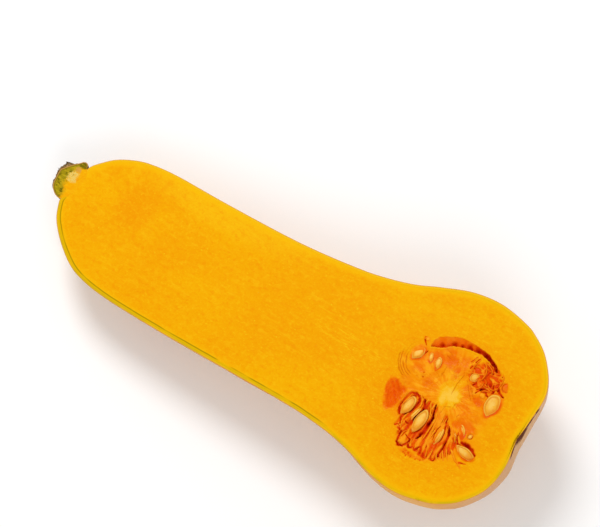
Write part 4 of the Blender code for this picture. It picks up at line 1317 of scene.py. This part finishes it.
strands = {
    "runs": (
        (((252.4, -10.9, -.2), (253.8, -12.6, .1), (255.4, -14.4, .1), (256.8, -15.9, -.3)), .44),
        (((256.6, -12.2, -.2), (257.8, -13.9, .15), (259.5, -15.7, -.2)), .58),
        (((256.8, -20.2, -.2), (259.2, -22.0, .2), (261.4, -23.8, .2), (263.4, -25.2, -.1)), .58),
        (((262.2, -23.6, -.3), (264.4, -25.4, .1), (267.2, -26.6, -.2)), .42),
        (((253.4, -22.6, -.5), (255.0, -25.0, 0), (257.4, -28.0, -.2)), .42),
        (((254.8, -20.8, -.5), (256.6, -23.8, 0), (259.2, -26.6, -.2)), .38),
        (((251.6, -24.6, -.5), (252.4, -27.0, 0), (254.2, -29.4, -.2)), .34),
        (((228.2, -3.0, -.2), (230.8, -5.6, 0), (231.8, -8.8, 0), (230.8, -12.8, -.1),
          (229.8, -18.2, -.6)), .42),
        (((235.2, -4.6, -.3), (237.2, -7.6, -.1), (238.9, -11.6, -.2), (239.0, -14.6, -.8)), .34),
        (((240.0, -4.4, -.2), (241.4, -8.0, 0), (242.2, -13.0, 0), (242.0, -19.0, -.1),
          (241.8, -24.6, -.5)), .42),
        (((244.4, -6.0, -.3), (245.2, -10.0, 0), (245.0, -15.0, 0), (244.8, -21.0, -.1),
          (244.6, -26.6, -.5)), .36),
        (((249.0, -11.0, -.4), (250.2, -14.0, -.1), (251.2, -17.8, -.3), (251.6, -22.6, -.5)), .28),
        (((246.8, -7.6, -.3), (247.0, -10.2, -.1), (246.8, -12.8, -.4)), .26),
        (((233.4, -22.9, -.6), (231.8, -24.2, -.2), (231.4, -26.6, 0), (231.8, -29.2, 0),
          (233.0, -30.6, -.2),
          (234.6, -29.6, -.1), (235.2, -27.6, -.3)), .26),
        (((226.9, -18.6, -.5), (227.9, -20.6, -.1), (228.6, -23.0, -.4)), .28),
        (((237.0, -25.2, -.5), (237.6, -27.4, 0), (238.4, -29.4, -.4)), .30),
        (((240.2, -25.6, -.5), (240.8, -27.6, 0), (241.0, -29.2, -.4)), .28),
        (((246.2, -25.4, -.5), (247.0, -27.6, 0), (247.8, -30.2, -.5)), .30),
        (((249.0, -24.6, -.6), (249.4, -27.0, 0), (249.6, -30.4, -.5)), .28),
        (((244.8, 28.4, -.3), (243.8, 26.4, .1), (243.0, 24.0, .05), (242.2, 21.8, -.3)), .26),
        (((246.6, 28.2, -.3), (245.6, 26.0, .1), (244.8, 23.6, .05), (244.7, 20.8, 0),
          (245.4, 17.8, -.3)), .34),
        (((246.8, 26.4, -.3), (249.4, 26.0, .1), (251.2, 23.8, .1), (251.9, 20.8, 0),
          (251.2, 17.2, -.4)), .34),
        (((248.6, 27.6, -.3), (251.6, 26.2, .1), (253.9, 24.8, .1), (254.6, 22.4, -.4)), .28),
        (((259.2, 26.2, -.2), (261.0, 24.6, .15), (261.4, 21.4, .1), (260.9, 18.6, -.4)), .27),
        (((262.8, 23.6, -.1), (262.3, 21.4, .15), (262.6, 19.2, .1), (264.2, 17.9, -.1),
          (265.4, 17.0, -.4)), .25),
        (((255.2, 18.0, -.4), (257.4, 16.4, .1), (259.6, 16.6, .1), (261.2, 18.8, -.3)), .28),
        (((250.6, 12.6, -.3), (252.4, 13.6, .1), (253.4, 15.8, 0), (253.0, 18.0, -.4)), .26),
        (((254.6, 12.4, -.5), (255.4, 13.6, 0), (257.0, 14.4, 0), (258.6, 13.6, -.5)), .26),
        (((214.6, 21.4, -.2), (216.2, 23.8, .1), (218.0, 22.4, 0), (218.6, 20.0, -.3)), .26),
        (((222.4, -4.6, -.4), (222.0, -8.4, 0), (222.0, -12.0, -.3)), .24),
    ),
    "tangle": (254.0, 20.0, 11.0, 9.0),  # where they are redder: middle and half sizes
    "sides": 8,
    "steps": 9,
}


def strandsPiece(finish):
    whole = bmesh.new()
    for path, half in strands["runs"]:
        run = evenRun(smoothRun(path, strands["steps"]), (len(path) - 1) * strands["steps"] + 1)
        run += 0.10 * np.column_stack([wobble(run, 0.9, k) for k in (31, 32, 33)])
        ahead = np.gradient(run, axis=0)
        ahead /= np.linalg.norm(ahead, axis=1)[:, None]
        across = np.cross(ahead, (0.0, 0.0, 1.0))
        across /= np.linalg.norm(across, axis=1)[:, None]
        raised = np.cross(across, ahead)
        thick = half * np.sqrt(np.clip(np.sin(np.linspace(0, pi, len(run))) * 1.6, 0.0, 1.0))
        thick *= 1 + 0.18 * wobble(run, 1.3, 34)
        turns = np.linspace(0, 2 * pi, strands["sides"] + 1)
        turned = across[:, None] * np.cos(turns)[None, :, None]
        ring = turned + raised[:, None] * np.sin(turns)[None, :, None] * 0.8
        addTo(whole, gridSheet(run[:, None] + ring * thick[:, None, None]))
    piece = meshObject("pulpStrands", whole, finish)
    points = meshPoints(piece)
    none = np.zeros(len(points))
    paint(piece, "pulpTone", none, none + 1, none)
    # strands are painted redder where they dip down into the pulp, as painted shade
    lowered = 1 - between(-0.6, 0.1, points[:, 2])
    tangle = 0.45 * (1 - between(0.9, 1.2, reachIn(points[:, 0], points[:, 1], strands["tangle"])))
    paint(piece, "pulpMark", 0.08 + 0.5 * lowered + tangle, none, 0.60 + 0.3 * wobble(points, 0.5, 35))
    return settle(piece, "pulp", sharp=80)


# Stem

stem = {
    "base": (2.3, 0.3, 0.0),
    "seatNormal": (-0.985, 0.171, 0.0),
    "stations": (  # mm out from the seat, lower and upper edge of the cut face, depth, how much wider below
        (-4.0, -2.5, 3.0, 0.6, 0.0),
        (-3.4, -5.5, 6.0, 1.2, 0.0),
        (-2.6, -7.6, 8.0, 9.4, 2.4),
        (-1.6, -8.8, 9.2, 10.4, 1.8),
        (-0.6, -10.2, 10.2, 11.2, 0.9),
        (0.2, -11.1, 10.8, 11.5, 0.5),
        (0.9, -11.3, 12.3, 11.6, 0.2),
        (2.2, -11.3, 13.1, 11.3, 0.0),
        (4.0, -10.9, 12.7, 10.4, 0.0),
        (5.2, -10.4, 11.2, 9.7, 0.0),
        (6.4, -9.8, 9.5, 9.4, 0.0),
        (7.8, -8.9, 7.7, 9.6, 0.1),
        (9.2, -6.8, 5.6, 9.9, 0.5),
        (10.4, -3.4, 3.6, 9.2, 1.0),
        (11.1, -0.9, 2.3, 7.2, 1.4),
        (11.5, 0.9, 1.2, 3.4, 1.6),
    ),
    "rows": 74,
    "around": 130,
    "across": 40,
    "ridges": 5,
    "ridgeDepth": 0.10,
    "bark": 4.4,  # how far the broken end stands out beyond the cut face
    "roughness": 0.75,
    "faceHeight": 0.05,
}


def stemPiece(finish):
    outward = Vector(stem["seatNormal"]).normalized()
    aside = (outward.y, -outward.x, 0.0)
    run = evenRun(smoothRun(stem["stations"], 12), stem["rows"])
    angles = np.linspace(0, pi, stem["around"])
    grid = []
    for reach, lowEdge, highEdge, depth, widen in run:
        middle, half = (lowEdge + highEdge) / 2, (highEdge - lowEdge) / 2
        row = []
        for angle in angles:
            below = sin(angle)
            full = half + widen * float(between(0.02, 0.35, below))
            grown = float(between(1.0, 4.0, reach))
            ridge = stem["ridgeDepth"] * cos(2 * stem["ridges"] * angle + 0.6)
            ridge *= float(between(0.1, 0.5, below))
            v = middle + full * cos(angle) * (1 + ridge * grown)
            z = -depth * below * (1 + ridge * grown)
            probe = Vector((reach * 0.16, v * 0.42, z * 0.42))
            bark = noise.fractal(probe, 0.8, 2.1, 5) * stem["roughness"] * grown * (0.35 + 0.65 * below)
            jut = float(between(0.0, 1.4, -z)) * (1 - float(between(7.0, 13.0, -z)))
            spike = float(between(4.5, 7.5, v)) * (1 - float(between(8.6, 10.2, v)))
            ragged = 0.24 + 0.20 * float(between(-7.0, 3.0, v)) + 0.50 * spike
            jut *= float(between(4.2, 8.8, reach)) * ragged
            crumble = 1 + 0.9 * noise.fractal(Vector((v * 0.5, z * 0.5, 3.0)), 0.9, 2.2, 4)
            u = reach + stem["bark"] * jut * crumble
            length = hypot(v - middle, z) or 1.0
            v += bark * (v - middle) / length
            z += bark * z / length if below > 0.01 else 0.0
            row.append((u, v, z if below > 0.01 else 0.0, jut))
        share = np.linspace(0, 1, stem["across"])[1:-1]
        (startU, startV), (endU, endV) = row[-1][:2], row[0][:2]
        row += [(startU + (endU - startU) * s, startV + (endV - startV) * s, 0.0, 0.0) for s in share]
        row.append(row[0])
        grid.append(row)
    grid = np.array(grid)
    onFace = np.zeros(grid.shape[:2], bool)
    onFace[:, stem["around"] - 1:] = True
    onFace[:, 0] = True
    line = np.vstack([grid[:, 0, :2], grid[::-1, stem["around"] - 1, :2]])
    line = np.vstack([line, line[:1]])
    out, v = grid[:, :, 0], grid[:, :, 1]
    edge = pathDistance(out, v, line)[0] * onFace
    lift = onFace * (stem["faceHeight"] + 0.12 * between(0.3, 2.0, edge) * between(2, 5, out))
    places = np.array(stem["base"]) + out[:, :, None] * np.array(outward) + v[:, :, None] * np.array(aside)
    places[:, :, 2] = grid[:, :, 2] + lift
    bm = gridSheet(places)
    bmesh.ops.holes_fill(bm, edges=[e for e in bm.edges if e.is_boundary], sides=0)
    bmesh.ops.recalc_face_normals(bm, faces=bm.faces)
    piece = meshObject("stemStub", bm, finish)
    places = places.reshape(-1, 3)
    nearest = [int(np.argmin(((places - p) ** 2).sum(1))) for p in meshPoints(piece)]
    paint(piece, "stemTone", edge.ravel()[nearest], grid[:, :, 3].ravel()[nearest])
    return settle(piece, "cork", "stem", sharp=60)


# Stage

def stageFloor():
    bm = bmesh.new()
    bmesh.ops.create_grid(bm, x_segments=2, y_segments=2, size=4.0)
    finish = bpy.data.materials.new("floorFinish")
    finish.use_nodes = True
    shader = finish.node_tree.nodes["Principled BSDF"]
    shader.inputs["Base Color"].default_value = (studio["floor"], studio["floor"], studio["floor"], 1)
    shader.inputs["Roughness"].default_value = 0.9
    floor = meshObject("floor", bm, finish)


def softLight(name, place, size, power):
    lamp = bpy.data.lights.new(name, "AREA")
    lamp.shape = "DISK"
    lamp.size = size
    lamp.energy = power
    item = bpy.data.objects.new(name, lamp)
    item.location = place
    item.rotation_euler = (Vector(studio["aim"]) - Vector(place)).to_track_quat("-Z", "Y").to_euler()
    bpy.context.scene.collection.objects.link(item)


def stageLight():
    world = bpy.data.worlds.new("studio")
    world.use_nodes = True
    sky = world.node_tree.nodes["Background"]
    sky.inputs["Color"].default_value = (1.0, 1.0, 1.0, 1)
    sky.inputs["Strength"].default_value = studio["sky"]
    bpy.context.scene.world = world
    for lamp in studio["lamps"]:
        softLight(*lamp)


def photoCamera():
    width, height = view["pictureSize"]
    focal, far = view["focalPixels"], view["distance"]
    towards = Vector((cos(view["slantHeading"]), sin(view["slantHeading"]), 0))
    normal = Vector((0, 0, cos(view["slant"]))) - towards * sin(view["slant"])

    def onCut(pixel):  # where a pixel of the picture meets the plane of the cut face
        ray = Vector(((pixel[0] - width / 2) / focal, (height / 2 - pixel[1]) / focal, -1))
        eye = Vector((0, 0, far))
        return eye - ray * (eye.dot(normal) / ray.dot(normal))

    start, end = onCut(view["stemPixel"]), onCut(view["endPixel"])
    along = (end - start).normalized()
    across = normal.cross(along)
    fruitInView = Matrix((along, across, normal)).transposed().to_4x4()
    fruitInView.translation = start
    data = bpy.data.cameras.new("photoCamera")
    data.sensor_width = 36.0
    data.lens = focal * data.sensor_width / width
    data.clip_start = 0.01
    camera = bpy.data.objects.new("photoCamera", data)
    inFruit = fruitInView.inverted() @ Vector((0, 0, far))
    turn = toTable.to_3x3().normalized() @ fruitInView.to_3x3().inverted()
    camera.matrix_world = Matrix.Translation(toTable @ inFruit) @ turn.to_4x4()
    bpy.context.scene.collection.objects.link(camera)
    bpy.context.scene.camera = camera


photoCamera()
fleshPiece(fleshFinish())
rindPiece(rindFinish())
wetPulp = pulpFinish()
pulpPiece(wetPulp)
strandsPiece(wetPulp)
seedsPiece(seedFinish())
stemPiece(stemFinish())
stageFloor()
stageLight()
bpy.context.scene.view_settings.view_transform = "Standard"
